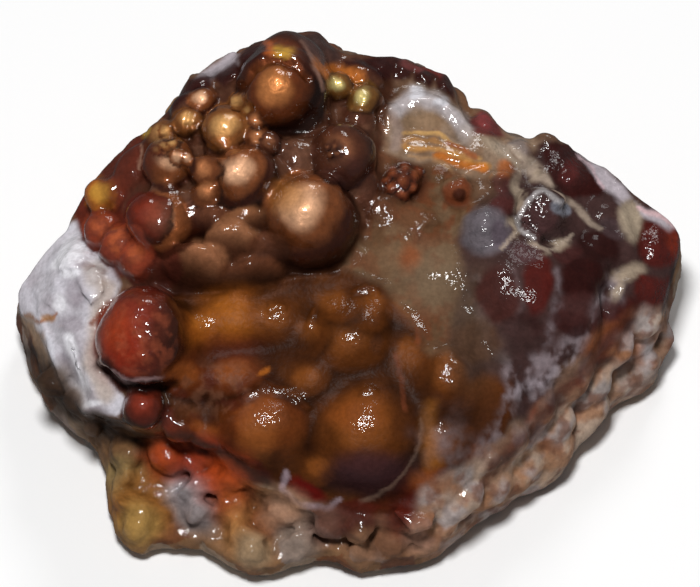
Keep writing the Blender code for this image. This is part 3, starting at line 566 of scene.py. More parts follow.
for a, u, wide, high, turn, lift, bulge, painted_light_tones in [
    (-9.0, -2.4, 3.4, 2.4, 12, -0.9, 2.2, HONEY), (-11.0, -2.8, 1.5, 1.5, 0, -0.4, 1.4, HONEY),
    (-5.3, -2.3, 2.3, 2.0, 0, -0.6, 1.8, UMBER), (0.1, -4.0, 3.2, 3.1, 0, -0.6, 2.4, UMBER),
    (1.7, -1.4, 2.4, 1.9, 0, -0.9, 1.6, UMBER), (-1.2, -1.1, 2.2, 1.6, 0, -1.0, 1.5, UMBER),
    (-3.0, -3.4, 1.6, 1.8, -8, -0.8, 1.3, UMBER), (-6.3, -10.0, 3.7, 3.2, 0, -0.7, 2.6, RUSSET),
    (1.3, -10.7, 4.1, 4.0, 0, -0.9, 3.0, UMBER), (7.4, -6.6, 2.5, 2.7, 0, -0.3, 2.2, UMBER),
    (7.3, -11.5, 2.2, 2.2, 0, -0.2, 1.6, UMBER), (10.3, -8.6, 2.6, 3.8, -12, -0.7, 2.0, UMBER),
    (-8.9, -6.4, 3.2, 1.7, 8, -0.5, 1.4, RUSSET), (-3.1, -6.7, 1.9, 1.6, 20, -0.5, 1.3, UMBER),
    (4.6, -5.4, 1.7, 3.0, 4, -1.0, 1.5, UMBER), (5.0, -1.4, 2.2, 2.0, 0, -0.5, 1.3, UMBER),
    (-12.2, -6.6, 1.9, 1.7, 0, -0.4, 1.2, RUSSET), (-2.3, -13.3, 1.7, 1.4, 0, -0.5, 1.2, UMBER),
    (5.6, -14.2, 1.8, 1.4, 20, -0.3, 1.2, RUSSET), (9.9, -12.3, 1.7, 1.3, 35, -0.3, 1.2, RUSSET),
    (-10.6, -10.6, 1.9, 1.2, -25, -0.3, 1.1, RUSSET),
]:
    lump(a, u, wide, high, turn, lift, bulge)
    # Painted light and shade over each swell, lit near its top.
    through = painted_light_ramp(a, u, wide * 1.1, high * 1.1, turn, painted_light_tones, 0.3)
    mark(oval(a, u, wide, high, turn, 0.45), through, 0.9, 0.0, 0.4)
mark(oval(-9.2, -1.7, 2.2, 1.7, 10, 0.8), (146, 80, 24), 0.65)
mark(oval(-11.2, -3.4, 0.9, 1.1, 0, 0.7), (146, 78, 24), 0.6)
mark(oval(-9.0, -4.3, 2.6, 0.9, 10, 0.8), (96, 42, 24), 0.7)
mark(oval(-4.4, -4.2, 2.0, 1.2, 10, 0.9), (58, 29, 13), 0.8)
mark(oval(4.8, -9.0, 1.2, 3.4, 0, 0.9), (60, 31, 15), 0.7)
mark(oval(-6.3, -5.6, 0.45, 0.22, 40), (196, 110, 34), 0.5)
mark(cloudy(oval(-10.0, -7.2, 3.0, 2.0), 0.9, 0.0, 43), (112, 70, 50), 0.7)
mark(cloudy(oval(-10.4, -7.6, 2.8, 1.8), 1.0, 0.2, 44), (74, 30, 20), 0.7)
mark(oval(1.6, -13.4, 3.0, 1.6, 0, 0.5), (58, 34, 38), 0.8)
mark(oval(0.3, -8.9, 2.0, 1.2, 0, 0.7), (128, 66, 26), 0.6)
mark(oval(-6.8, -10.9, 1.4, 1.6, 0, 0.6), (134, 76, 34), 0.6)
mark(oval(-4.6, -10.6, 1.1, 1.9, 0, 0.5), (100, 52, 22), 0.6)
mark(vein([(5.3, -9.4), (5.2, -11.4), (4.2, -13.3), (2.8, -14.6), (0.8, -15.6)], 0.3), (136, 108, 92), 0.5)
mark(cloudy(oval(7.6, -11.2, 2.0, 2.2, 0, 1.0), 1.4, -0.1, 47, None, 0.6), (120, 108, 110), 0.7)
mark(vein([(6.0, -8.6), (5.8, -10.4), (6.2, -12.6)], 1.1, 1.0), (148, 90, 34), 0.6)
mark(oval(9.9, -8.9, 2.3, 3.4, -10, 0.9), (62, 33, 18), 0.85)
mark(vein([(3.4, -4.6), (3.9, -6.6), (4.1, -8.4)], 0.35), (124, 64, 40), 0.4)
mark(vein([(4.2, 0.4), (4.9, -1.6), (5.2, -3.6)], 0.4), (140, 66, 34), 0.4)
mark(oval(-7.3, -13.2, 1.6, 0.6, -28), (62, 22, 20), 0.85)
mark(oval(-3.3, -14.7, 1.7, 0.7, -28), (96, 16, 12), 0.95)
mark(oval(0.6, -16.0, 2.0, 0.5, 6), (80, 22, 14), 0.8)
front_edge = [(-4.9, -13.4), (-5.2, -14.6), (-3.6, -16.0), (-1.6, -16.2), (-0.6, -15.4)]
mark(vein(front_edge, 0.45), (160, 140, 148), 0.8)

# The tan shoulder and the banded top. Milky and tan chalcedony between the bronze field and the
# grey dome, thin enough at the top for its bands of orange agate to show.

TAN_SHOULDER = [
    (1.2, 4.5), (3.0, 7.5), (2.5, 10.5), (4.5, 9.5), (7.0, 9.5), (9.0, 8.5), (9.5, 6.5),
    (8.3, 4.0), (8.5, 1.0), (7.5, -3.5), (6.0, -4.5), (4.6, -1.5), (2.6, 1.0), (-0.5, 1.8),
]
BANDED_TOP = [
    (3.0, 14.5), (4.8, 15.9), (8.0, 14.8), (9.0, 13.0), (11.9, 12.2), (14.5, 11.5),
    (12.5, 9.5), (9.0, 8.8), (7.0, 9.7), (4.5, 9.8), (2.6, 11.0), (2.8, 13.0),
]
tan_shoulder = patch(TAN_SHOULDER, 1.4)
banded_top = patch(BANDED_TOP, 0.8)
mark(tan_shoulder, (90, 63, 42), dull=0.62)
mark(cloudy(tan_shoulder, 2.2, 0.0, 51), (108, 84, 62), 0.8)
mark(cloudy(tan_shoulder, 1.4, 0.15, 52), (100, 52, 28), 0.7)
mark(banded_top, (128, 100, 78), dull=0.3)
mark(cloudy(banded_top, 1.8, 0.1, 53), (150, 128, 108), 0.6)
for a, u, wide, high, turn, lift, bulge in [
    (6.2, 1.4, 3.0, 2.6, 0, -0.7, 1.6), (3.0, 2.6, 2.2, 2.4, 0, -0.6, 1.3),
    (5.4, 5.2, 2.1, 1.7, 0, -0.3, 1.3), (2.6, 6.0, 1.5, 1.4, 0, -0.2, 1.2),
    (5.0, 14.2, 1.9, 1.1, 5, 0.0, 1.4), (7.9, 12.8, 1.0, 1.7, 35, 0.0, 1.4),
    (5.6, 12.2, 2.3, 1.4, -5, -0.5, 1.2), (7.6, 10.4, 2.4, 0.9, -18, -0.3, 1.1),
    (5.2, 10.9, 2.2, 0.8, -8, -0.3, 1.0), (3.2, 12.6, 1.2, 1.8, 0, -0.4, 1.2),
    (9.9, 11.2, 1.5, 1.2, -35, 0.0, 0.9),
]:
    lump(a, u, wide, high, turn, lift, bulge)
mark(oval(6.4, 1.3, 2.6, 2.2, 0, 0.8), (116, 96, 75), 0.7)
mark(oval(2.6, 2.6, 1.4, 1.2, 0, 0.8), (116, 88, 64), 0.6)
mark(oval(4.4, 2.9, 0.7, 1.0, 0, 0.8), (140, 66, 26), 0.6)
mark(oval(2.4, 6.2, 1.2, 1.1, 0, 0.6), (88, 50, 32), 0.6)
mark(oval(4.6, 5.6, 1.4, 1.2, 0, 0.6), (104, 66, 44), 0.6)
# The berries' painted lit, middle and painted shade tones, how metallic and how dull.
BERRY = (128, 66, 38), (88, 40, 22), (36, 15, 9), 0.1, 0.4
mark(oval(4.0, 8.3, 1.8, 1.5, 0, 0.4), (58, 27, 17), 0.85)
lump(4.0, 8.3, 1.5, 1.3, 0, 0.0, 1.2)
for a, u, radius in [
    (3.2, 9.0, 0.5), (4.1, 9.3, 0.5), (5.0, 8.9, 0.5), (4.9, 8.0, 0.5), (4.1, 7.5, 0.55), (3.2, 7.8, 0.5),
    (2.8, 8.4, 0.4), (4.0, 8.4, 0.6),
]:
    bubble(a, u, radius, stand_at(a, u) - 0.4 * radius, BERRY)
mark(vein([(4.0, 12.1), (6.5, 12.0), (8.0, 11.1), (9.6, 10.4)], 0.28), (196, 152, 92), 0.8)
mark(vein([(4.2, 11.6), (6.3, 11.5), (7.8, 10.8), (9.2, 10.2)], 0.3), (168, 118, 66), 0.7)
mark(vein([(4.3, 11.1), (6.6, 10.7), (8.3, 10.2), (10.2, 9.8)], 0.45), (190, 134, 70), 0.8)
mark(vein([(6.6, 10.1), (8.2, 9.8), (9.8, 9.7)], 0.6), (196, 110, 34), 0.85)
mark(vein([(7.4, 11.3), (8.5, 10.8), (9.4, 10.5)], 0.4), (136, 62, 34), 0.8)
mark(vein([(4.5, 10.5), (6.4, 9.9), (7.6, 9.3)], 0.3), (170, 130, 90), 0.6)
mark(oval(11.6, 9.3, 0.8, 0.5, -30), (178, 96, 40), 0.7)
mark(oval(5.5, 13.0, 1.6, 0.7), (136, 108, 82), 0.8)
mark(vein([(3.6, 14.0), (4.8, 14.9), (6.5, 14.5), (8.0, 13.3), (8.9, 12.1)], 1.2), (186, 178, 180), 0.85)
mark(vein([(3.3, 13.4), (3.6, 12.4), (3.4, 11.2)], 0.9), (150, 130, 122), 0.6)
# Near-white spots on the milky band: painted highlights.
mark(oval(5.0, 15.0, 0.6, 0.45), (226, 224, 230), 0.85)
mark(oval(6.9, 14.4, 0.6, 0.3), (220, 218, 224), 0.8)
mark(oval(9.0, 11.9, 0.7, 0.9, 20), (160, 146, 138), 0.6)

# The grey dome. The thick end of the crust, where grey and lilac chalcedony lies like haze over
# cells of dark red, with pale walls between the cells and a broken bubble open like a crater.

DOME_FIELD = [
    (9.5, 6.5), (12.5, 9.5), (14.5, 11.6), (17.4, 11.0), (21.5, 8.0), (25.2, 5.6),
    (25.6, 3.5), (24.6, 0.5), (23.3, -2.0), (21.0, -2.6), (18.5, -5.3), (16.0, -8.0),
    (13.5, -10.8), (12.3, -9.0), (12.0, -6.5), (9.0, -6.0), (7.5, -3.5), (8.5, 1.0),
    (8.3, 4.0),
]
dome_field = patch(DOME_FIELD, 1.2)
mark(dome_field, (62, 42, 40), dull=0.55)
mark(oval(9.2, -2.0, 1.9, 3.6, 0, 0.9), (80, 62, 48), 0.8)
for a, u, wide, high, turn, lift, bulge in [
    (13.2, -1.4, 5.9, 5.4, -20, -1.2, 3.2), (17.4, 1.5, 2.0, 2.1, 0, -0.1, 1.9),
    (18.6, 3.4, 1.7, 1.5, 0, -0.1, 1.5), (19.3, 5.9, 1.9, 1.3, -30, -0.1, 1.3),
    (20.6, 3.2, 1.2, 1.6, 0, 0.0, 1.2), (20.4, -0.4, 1.4, 2.2, -15, -0.1, 1.4),
    (18.6, -3.6, 1.6, 2.2, -35, -0.2, 1.5), (16.4, -6.2, 1.7, 2.2, -38, -0.2, 1.5),
    (13.8, -8.6, 1.6, 2.0, -42, -0.2, 1.5), (11.9, -10.8, 1.5, 1.8, -45, -0.2, 1.4),
    (13.0, -5.2, 2.6, 1.9, -20, -0.3, 1.6), (16.0, 3.0, 1.5, 1.2, 30, 0.0, 1.2),
    (12.7, 3.4, 1.6, 1.3, 0, -0.1, 1.2), (14.4, 8.6, 1.3, 1.6, -40, -0.2, 1.1),
    (9.9, 10.4, 1.6, 1.0, -15, -0.2, 1.0), (10.3, 4.9, 1.9, 1.9, 0, 0.0, 1.8),
    (8.1, 7.7, 1.3, 1.2, 0, -0.2, 1.3), (8.2, 7.6, 0.5, 0.5, 0, 0.8, 0.5),
    (11.3, 6.6, 1.1, 1.0, 0, 0.1, 1.0), (11.3, 8.4, 1.1, 1.0, 0, 0.1, 1.0),
    (14.4, 5.8, 1.8, 1.8, 0, 0.3, 1.6), (12.8, 10.6, 1.1, 1.1, 0, 0.1, 1.1),
]:
    lump(a, u, wide, high, turn, lift, bulge)
for route, width, tone, opacity in [
    ([(9.4, 0.9), (10.2, -2.2), (11.4, -4.6)], 1.0, (116, 102, 98), 0.5),
    ([(15.7, 1.6), (15.6, -1.0), (14.6, -3.6)], 0.7, (122, 108, 112), 0.75),
    ([(12.4, 1.6), (12.7, -0.8), (12.2, -2.8)], 0.5, (104, 84, 84), 0.6),
    ([(12.0, -8.4), (11.0, -10.4), (9.8, -12.2)], 1.2, (126, 112, 114), 0.7),
    ([(12.0, -5.8), (15.4, -5.0), (18.0, -2.6), (19.8, 0.8)], 1.3, (136, 122, 126), 0.9),
    ([(12.4, -7.0), (14.8, -6.6), (17.2, -4.6)], 1.0, (156, 144, 150), 0.9),
    ([(11.6, -7.6), (13.6, -7.8), (15.2, -6.9)], 0.5, (134, 122, 126), 0.6),
    ([(19.2, 1.2), (20.4, -0.9), (18.9, -3.4)], 0.7, (120, 108, 112), 0.6),
]:
    mark(cloudy(vein(route, width, 1.0), 0.9, -0.1, 61, (1.0, 1.6, 1.6), 0.45), tone, opacity)
for a, u, wide, high, turn, tone, opacity in [
    (11.0, -0.2, 1.6, 2.2, 0, (66, 32, 28), 0.9), (14.1, 0.7, 1.0, 2.3, -8, (74, 22, 17), 0.95),
    (13.0, -2.6, 1.4, 1.2, 0, (50, 26, 24), 0.8), (16.4, -2.2, 1.6, 1.0, -20, (50, 22, 20), 0.9),
    (17.4, 1.2, 1.7, 1.7, 0, (44, 16, 14), 1.0), (18.7, 3.5, 1.6, 1.3, 0, (42, 17, 15), 0.95),
    (16.4, 3.0, 1.0, 0.6, 20, (66, 30, 28), 0.7), (19.8, 5.0, 1.2, 0.8, -30, (70, 54, 56), 0.7),
    (17.0, -1.0, 1.4, 1.2, 0, (66, 36, 34), 0.7), (19.3, -1.9, 1.0, 1.6, -30, (62, 24, 20), 0.8),
    (12.2, -3.4, 1.8, 1.4, 0, (64, 44, 42), 0.7), (9.4, -3.6, 1.8, 1.6, 0, (84, 58, 42), 0.7),
    (11.3, 6.6, 0.9, 0.9, 0, (80, 36, 34), 0.7), (11.3, 8.4, 0.8, 0.9, 0, (84, 44, 42), 0.7),
    (8.1, 7.7, 1.1, 1.0, 0, (112, 56, 32), 0.9), (8.2, 7.6, 0.55, 0.5, 0, (52, 24, 16), 0.9),
    (10.3, 4.8, 1.8, 1.8, 0, (108, 102, 108), 0.75), (11.2, 4.4, 0.7, 1.1, 0, (80, 66, 76), 0.6),
    (14.4, 5.7, 1.3, 1.2, 0, (72, 44, 44), 0.8), (15.7, 6.5, 0.7, 0.6, 0, (122, 124, 134), 0.8),
    (13.2, 3.0, 1.4, 0.8, 0, (84, 58, 60), 0.6), (12.6, 10.7, 0.9, 0.9, 0, (128, 118, 116), 0.7),
]:
    mark(oval(a, u, wide, high, turn, 0.25), tone, opacity)
for a, u, wide, high, turn in [
    (11.6, 10.6, 1.9, 0.5, -35), (13.4, 9.3, 1.1, 0.6, -40), (12.6, 7.6, 0.5, 1.1, 5),
    (12.4, 4.9, 0.5, 0.8, 0), (21.3, 5.6, 0.8, 1.4, 10), (20.9, 1.6, 1.2, 0.6, 15),
    (20.0, 0.2, 0.4, 0.8, -30), (15.4, 3.5, 1.0, 0.4, 20),
]:
    mark(cloudy(oval(a, u, wide, high, turn, 0.6), 1.4, -0.35, 63), (166, 148, 128), 0.85)
for route, width in [
    ([(11.6, 11.0), (13.2, 9.8), (14.8, 8.4)], 1.0), ([(14.8, 8.4), (17.2, 6.3), (18.8, 5.0)], 0.45),
    ([(12.2, 4.2), (11.2, 3.4)], 0.3), ([(13.4, 3.8), (15.2, 3.2), (16.8, 4.4)], 0.3),
]:
    mark(cloudy(vein(route, width), 1.2, -0.4, 62), (164, 146, 130), 0.75)
mark(oval(21.3, 5.5, 0.9, 1.5, 10, 0.5), (158, 142, 122), 0.8)
mark(oval(20.9, 1.6, 1.2, 0.6, 15, 0.5), (162, 144, 124), 0.7)
CRATER_RING = [(15.7, 6.9), (14.4, 7.6), (13.2, 7.0), (12.8, 5.8), (13.0, 4.6), (13.9, 4.1)]
# A pale ring of painted highlight along the crater's rim.
mark(vein(CRATER_RING, 0.35), (196, 190, 190), 0.6)

# The broken rims. Where the crust snapped off, its dark red and black layers stand as sharp chips
# along the top, with a grey and pink quartz edge at the right.


def hull_outline(corners):
    """The outline round the corners as they show on the face."""
    rest = sorted({c[:2] for c in corners})
    sides = []
    for order in (rest, rest[::-1]):
        side = []
        for p in order:
            while len(side) > 1:
                (ax, ay), (bx, by) = side[-2:]
                if (bx - ax) * (p[1] - ay) - (by - ay) * (p[0] - ax) > 0:
                    break
                side.pop()
            side.append(p)
        sides += side[:-1]
    return sides


MAROON_RIM = 50, 19, 17
RED_RIM = 78, 24, 19
PALE_RIM = 176, 166, 172
for tone, corners in [
    (PALE_RIM, [
        (-11.7, 16.4, -0.8), (-10.4, 17.4, -0.9), (-9.0, 18.3, -0.9), (-8.4, 18.6, -0.7), (-8.4, 17.2, -0.5),
        (-10.6, 16.0, -0.5),
    ]),
    (MAROON_RIM, [
        (14.2, 11.2, -0.4), (16.3, 11.5, -0.3), (17.6, 10.4, -0.4), (19.3, 8.6, -0.4),
        (18.6, 7.4, -0.2), (16.6, 7.2, -0.2), (15.0, 8.6, -0.2), (16.0, 10.6, 1.0),
        (15.2, 9.8, 0.9), (16.6, 8.8, 1.5), (17.8, 8.8, 1.1),
    ]),
    (RED_RIM, [
        (22.4, 5.4, -0.3), (24.8, 4.8, -0.2), (25.0, 3.3, -0.1), (24.0, 1.9, -0.2),
        (22.2, 2.3, 0.0), (21.6, 3.9, 0.0), (23.4, 4.4, 0.9), (23.2, 3.0, 1.0),
    ]),
    (RED_RIM, [
        (21.6, 1.4, 0.0), (23.9, 1.2, -0.2), (24.1, 0.2, -0.2), (23.2, -1.4, -0.3),
        (21.6, -1.2, -0.2), (21.4, 0.2, 0.2), (22.8, 0.4, 0.9),
    ]),
    (PALE_RIM, [
        (17.4, 10.3, -0.6), (19.3, 9.5, -0.6), (21.4, 7.3, -0.5), (20.6, 6.8, 0.0),
        (18.9, 8.0, 0.3), (18.2, 9.6, 0.2),
    ]),
    (PALE_RIM, [
        (21.6, 7.0, -0.3), (24.7, 5.2, -0.3), (24.0, 4.6, 0.1), (22.0, 6.0, 0.4),
    ]),
    ((92, 34, 34), [
        (9.0, 13.0, 0.0), (9.9, 13.2, 0.1), (10.2, 13.7, 0.0), (10.5, 13.2, 0.1), (11.2, 12.6, 0.0),
        (11.7, 11.9, 0.0), (9.6, 11.7, 0.1), (10.2, 12.7, 1.0), (10.6, 12.0, 0.8),
    ]),
    ((72, 52, 48), [
        (-4.2, 19.5, -0.3), (-2.5, 19.9, 0.0), (-1.4, 18.6, 0.0), (-0.6, 17.7, 0.0),
        (-2.0, 17.2, 0.0), (-3.2, 18.3, 0.4), (-2.3, 18.8, 1.0),
    ]),
    (MAROON_RIM, [
        (-0.6, 17.7, -0.2), (0.2, 17.6, 0.1), (1.2, 17.5, 0.3), (1.6, 16.5, 0.3), (0.4, 16.9, 0.3),
        (0.8, 17.2, 1.0), (-0.4, 17.1, 0.2),
    ]),
    (MAROON_RIM, [
        (1.0, 17.6, -0.2), (2.3, 17.9, 0.0), (3.2, 18.0, 0.1), (3.5, 17.0, 0.5),
        (3.0, 16.2, 0.2), (1.7, 16.4, 0.2), (2.4, 17.2, 1.0),
    ]),
    (MAROON_RIM, [
        (3.2, 17.9, -0.1), (4.4, 17.8, 0.0), (5.0, 17.2, 0.3), (4.6, 16.0, 0.2), (3.2, 16.2, 0.2),
        (3.9, 17.0, 1.1), (4.4, 16.6, 0.9),
    ]),
    (MAROON_RIM, [
        (4.8, 17.6, -0.1), (6.0, 16.9, 0.0), (6.4, 16.2, 0.4), (6.0, 15.4, 0.2), (4.8, 15.8, 0.2),
        (5.4, 16.6, 1.0), (5.8, 16.0, 0.8),
    ]),
    (MAROON_RIM, [
        (6.0, 16.9, -0.1), (7.2, 16.6, 0.0), (7.9, 15.6, 0.0), (8.1, 14.4, 0.1), (7.4, 14.9, 0.3),
        (6.4, 15.3, 0.3), (7.0, 15.8, 1.1), (7.5, 15.2, 0.8),
    ]),
    (MAROON_RIM, [
        (-12.2, 16.5, -0.2), (-11.2, 16.6, -0.1), (-10.2, 16.3, 0.0), (-10.6, 15.6, 0.3),
        (-11.8, 15.4, 0.3), (-12.7, 15.2, 0.0), (-11.4, 16.0, 0.9),
    ]),
    (MAROON_RIM, [
        (-10.3, 16.3, -0.1), (-9.2, 16.8, -0.1), (-8.6, 17.8, 0.0), (-8.2, 16.6, 0.4),
        (-9.6, 15.7, 0.3), (-9.0, 16.6, 0.9),
    ]),
    (MAROON_RIM, [
        (-8.6, 17.8, -0.2), (-8.0, 18.5, -0.2), (-6.8, 19.3, 0.0), (-6.4, 18.3, 0.5),
        (-7.8, 16.9, 0.4), (-7.4, 17.9, 1.0),
    ]),
    (MAROON_RIM, [
        (-13.9, 13.6, -0.1), (-13.2, 14.8, 0.0), (-12.4, 15.9, 0.0), (-12.0, 15.0, 0.4),
        (-13.0, 13.6, 0.4), (-12.9, 14.6, 0.7),
    ]),
]:
    block(corners)
    mark(patch(hull_outline(corners), 0.5), tone, 0.95, dull=0.25)
mark(oval(24.4, 3.8, 0.5, 1.1, 0, 0.6), (126, 42, 20), 0.6)
mark(oval(16.6, 9.2, 0.6, 1.0, -30), (84, 34, 32), 0.7)
mark(vein([(21.8, 6.6), (23.4, 5.8), (25.0, 4.9)], 0.4), (206, 170, 172), 0.8)
mark(vein([(17.2, 10.5), (18.4, 9.2), (18.9, 8.0)], 0.3), (196, 168, 174), 0.7)
mark(oval(10.2, 12.9, 0.5, 0.6), (134, 58, 58), 0.6)
mark(vein([(21.2, -1.2), (19.9, -3.2), (18.1, -5.4), (15.6, -7.9), (14.0, -9.6)], 1.7), (70, 24, 20), 0.85)
mark(oval(13.7, -9.4, 0.9, 0.5, 45), (140, 34, 22), 0.7)
mark(vein([(4.2, 17.5), (5.2, 16.8)], 0.5), (124, 64, 62), 0.6)
mark(vein([(5.5, 17.0), (6.8, 16.2)], 0.4), (128, 40, 30), 0.6)

# The matrix. Below the crust the stone is a jumble of pebbles and broken layers in ochre, orange,
# grey and milky blue, rounded by wear. Dark pockets of painted shadow lie under the overhanging
# crust and white end.

EYE_TURN = Matrix.Rotation(math.pi / 2 - FACE_ELEVATION, 4, "X")
CHIP_CORNERS = 14


def chip(across, up, size, stand, seed, stretch):
    """A small angular pebble, from corners thrown on an egg shape."""
    draw = random.Random(seed)
    middle = seat(across, up, stand)
    verts = []
    for _ in range(CHIP_CORNERS):
        way = Vector((draw.gauss(0, 1), draw.gauss(0, 1), draw.gauss(0, 1))).normalized()
        corner = Vector([w * size * s for w, s in zip(way, stretch)])
        verts.append(body.verts.new(middle + EYE_TURN.to_3x3() @ corner))
    close_hull(verts)


# Painted shadow in the pockets under the overhanging white end and crust edge.
SHADOWS_UNDER_OVERHANG = [
    ([(-23.9, -4.4), (-22.6, -6.7), (-20.6, -9.0)], 1.5), ([(-18.9, -9.6), (-17.2, -9.9)], 1.4),
    ([(-17.6, -10.8), (-15.0, -10.6), (-12.4, -10.6), (-9.2, -12.2), (-6.4, -14.0)], 0.8),
]
# Across, up, half size and how far it stands off, then its colour.
MATRIX_STONES = [
    (-16.8, -12.0, 1.5, 0.3, (106, 76, 50)), (-17.1, -14.0, 1.3, 0.4, (150, 128, 84)),
    (-15.6, -15.7, 2.2, 0.3, (134, 86, 38)), (-15.9, -17.3, 1.3, 0.0, (164, 128, 70)),
    (-12.0, -14.5, 1.5, 0.4, (156, 150, 154)), (-11.3, -16.4, 1.4, 0.3, (138, 128, 128)),
    (-13.6, -12.1, 1.6, 0.1, (148, 54, 20)), (-10.9, -12.4, 1.6, 0.1, (122, 40, 18)),
    (-9.4, -14.0, 1.7, 0.0, (158, 62, 22)), (-8.8, -15.9, 1.3, 0.1, (142, 70, 32)),
    (-7.8, -17.8, 1.5, 0.3, (168, 116, 66)), (-6.3, -17.0, 1.2, 0.1, (122, 70, 40)),
    (-7.4, -19.3, 1.2, 0.0, (148, 124, 96)), (-4.8, -16.3, 1.4, 0.3, (160, 122, 98)),
    (-3.8, -18.5, 1.3, 0.1, (140, 122, 110)), (-1.5, -17.3, 1.3, 0.2, (98, 66, 56)),
    (0.7, -17.4, 1.4, 0.1, (72, 32, 24)), (0.9, -18.9, 1.2, 0.0, (128, 92, 68)),
    (3.2, -18.5, 1.4, 0.1, (112, 76, 56)), (4.7, -16.6, 1.6, 0.2, (84, 26, 18)),
    (5.6, -18.3, 1.2, 0.0, (156, 118, 98)), (7.0, -17.1, 1.4, 0.0, (148, 108, 88)),
    (8.1, -15.6, 1.7, 0.1, (120, 92, 88)), (10.2, -14.6, 1.7, 0.0, (146, 112, 90)),
    (12.4, -13.4, 1.8, 0.0, (156, 122, 98)), (14.6, -12.0, 2.0, 0.0, (170, 142, 120)),
    (15.4, -10.0, 1.5, -0.1, (162, 106, 72)), (17.2, -9.2, 1.9, 0.0, (176, 152, 134)),
    (18.0, -6.9, 1.6, 0.0, (178, 138, 110)), (20.0, -6.4, 1.6, 0.0, (182, 160, 146)),
    (19.6, -4.4, 1.5, 0.0, (158, 92, 50)), (21.8, -5.4, 1.4, 0.0, (166, 150, 142)),
    (21.6, -3.4, 1.5, 0.0, (154, 96, 58)), (23.1, -3.7, 1.2, 0.0, (160, 150, 150)),
    (22.4, -2.3, 1.0, 0.0, (164, 154, 150)), (-19.0, -9.9, 1.1, 0.0, (86, 66, 52)),
    (-22.2, -6.6, 1.3, 0.0, (90, 70, 54)), (-20.8, -8.2, 1.0, 0.0, (96, 76, 60)),
]
# From here to the right the stones are low and worn, as one broken edge.
LOWER_RIGHT_FROM = 7
for count, (a, u, size, stand, tone) in enumerate(MATRIX_STONES):
    if a > LOWER_RIGHT_FROM:
        lump(a, u, size * 1.35, size * 0.9, 40, stand - 0.5, size * 0.8)
    elif count % 3 == 0:
        lump(a, u, size, size * 0.9, 25 * count, stand, size)
    else:
        chip(a, u, size * 1.15, stand, count, (1.0, 0.85, 0.9))
    mark(oval(a, u, size * 1.25, size * 1.15, 25 * count, 0.5), tone, 0.9)
lower_right = vein([(7.5, -16.5), (12.5, -13.6), (16.0, -10.6), (19.0, -7.4), (23.5, -3.6)], 5.0, 0.3)
for size, amount, seed, tone in [
    (2.6, 0.0, 91, (176, 154, 136)), (2.0, 0.15, 92, (148, 102, 70)), (2.4, 0.2, 93, (158, 150, 150)),
    (1.4, 0.25, 94, (112, 70, 52)),
]:
    mark(cloudy(lower_right, size, amount, seed), tone, 0.7)
# Painted shadow under the overhanging edge of the crust at the lower right.
shadow_under_crust = [(20.8, -2.2), (19.2, -4.0), (17.4, -6.1), (15.0, -8.6), (13.2, -10.6), (10.6, -13.0)]
mark(vein(shadow_under_crust, 1.3, 0.8), (64, 22, 19), 0.8)
for route, width in SHADOWS_UNDER_OVERHANG:
    mark(vein(route, width, 0.8), (44, 30, 24), 0.8)

# Growing the lumps into one stone. Node trees set a ball at every seed and scatter knobs over the
# sides and back, as the hidden matrix has them. One remesh turns body, balls, blocks and chips
# into a single skin.

VOXEL = 0.2 * MM
AWAY = -0.4
KNOBS_PER_SQUARE_METRE = 2.0e6
FULL_TURN = 6.28
KNOB_SEED = 11
NOISE_SEED = 3


def node_tree(name, sockets):
    """An empty geometry tree with a geometry socket each way and these named inputs."""
    tree = bpy.data.node_groups.new(name, "GeometryNodeTree")
    tree.is_modifier = True
    tree.interface.new_socket("Geometry", in_out="INPUT", socket_type="NodeSocketGeometry")
    for label, kind in sockets:
        tree.interface.new_socket(label, in_out="INPUT", socket_type=kind)
    tree.interface.new_socket("Geometry", in_out="OUTPUT", socket_type="NodeSocketGeometry")
    return tree


def add_node(tree, kind, inputs=(), **settings):
    """A node with these settings, its inputs linked or set."""
    node = tree.nodes.new(kind)
    for key, value in settings.items():
        setattr(node, key, value)
    for socket, source in dict(inputs).items():
        if isinstance(source, bpy.types.NodeSocket):
            tree.links.new(source, node.inputs[socket])
        else:
            node.inputs[socket].default_value = source
    return node


def grow(thing, tree, values):
    """Put a tree on an object, with its inputs set by their identifiers."""
    modifier = thing.modifiers.new(tree.name, "NODES")
    modifier.node_group = tree
    for item in tree.interface.items_tree:
        if item.in_out == "INPUT" and item.name in values:
            modifier[item.identifier] = values[item.name]


def join_copies(tree, given, points, ball, turn, size):
    """Set a ball on every point, join them to what is there and close the tree."""
    copies = add_node(tree, "GeometryNodeInstanceOnPoints", {
        "Points": points, "Instance": ball.outputs["Mesh"], "Rotation": turn, "Scale": size,
    })
    both = add_node(tree, "GeometryNodeJoinGeometry")
    tree.links.new(given["Geometry"], both.inputs["Geometry"])
    tree.links.new(copies.outputs["Instances"], both.inputs["Geometry"])
    real = add_node(tree, "GeometryNodeRealizeInstances", {"Geometry": both.outputs["Geometry"]})
    done = add_node(tree, "GeometryNodeSetMaterial", {
        "Geometry": real.outputs["Geometry"], "Material": given["Finish"],
    })
    add_node(tree, "NodeGroupOutput", {"Geometry": done.outputs["Geometry"]})


def seed_tree():
    """A ball on each seed, sized and turned by the seed's own attributes."""
    tree = node_tree("balls on seeds", [
        ("Seeds", "NodeSocketObject"), ("Ball detail", "NodeSocketInt"), ("Finish", "NodeSocketMaterial"),
    ])
    given = add_node(tree, "NodeGroupInput").outputs
    seeds = add_node(tree, "GeometryNodeObjectInfo", {"Object": given["Seeds"]}).outputs["Geometry"]
    ball = add_node(tree, "GeometryNodeMeshIcoSphere", {"Radius": 1.0, "Subdivisions": given["Ball detail"]})
    size = add_node(tree, "GeometryNodeInputNamedAttribute", {"Name": "size"}, data_type="FLOAT_VECTOR")
    turn = add_node(tree, "GeometryNodeInputNamedAttribute", {"Name": "turn"}, data_type="FLOAT_VECTOR")
    join_copies(tree, given, seeds, ball, turn.outputs["Attribute"], size.outputs["Attribute"])
    return tree


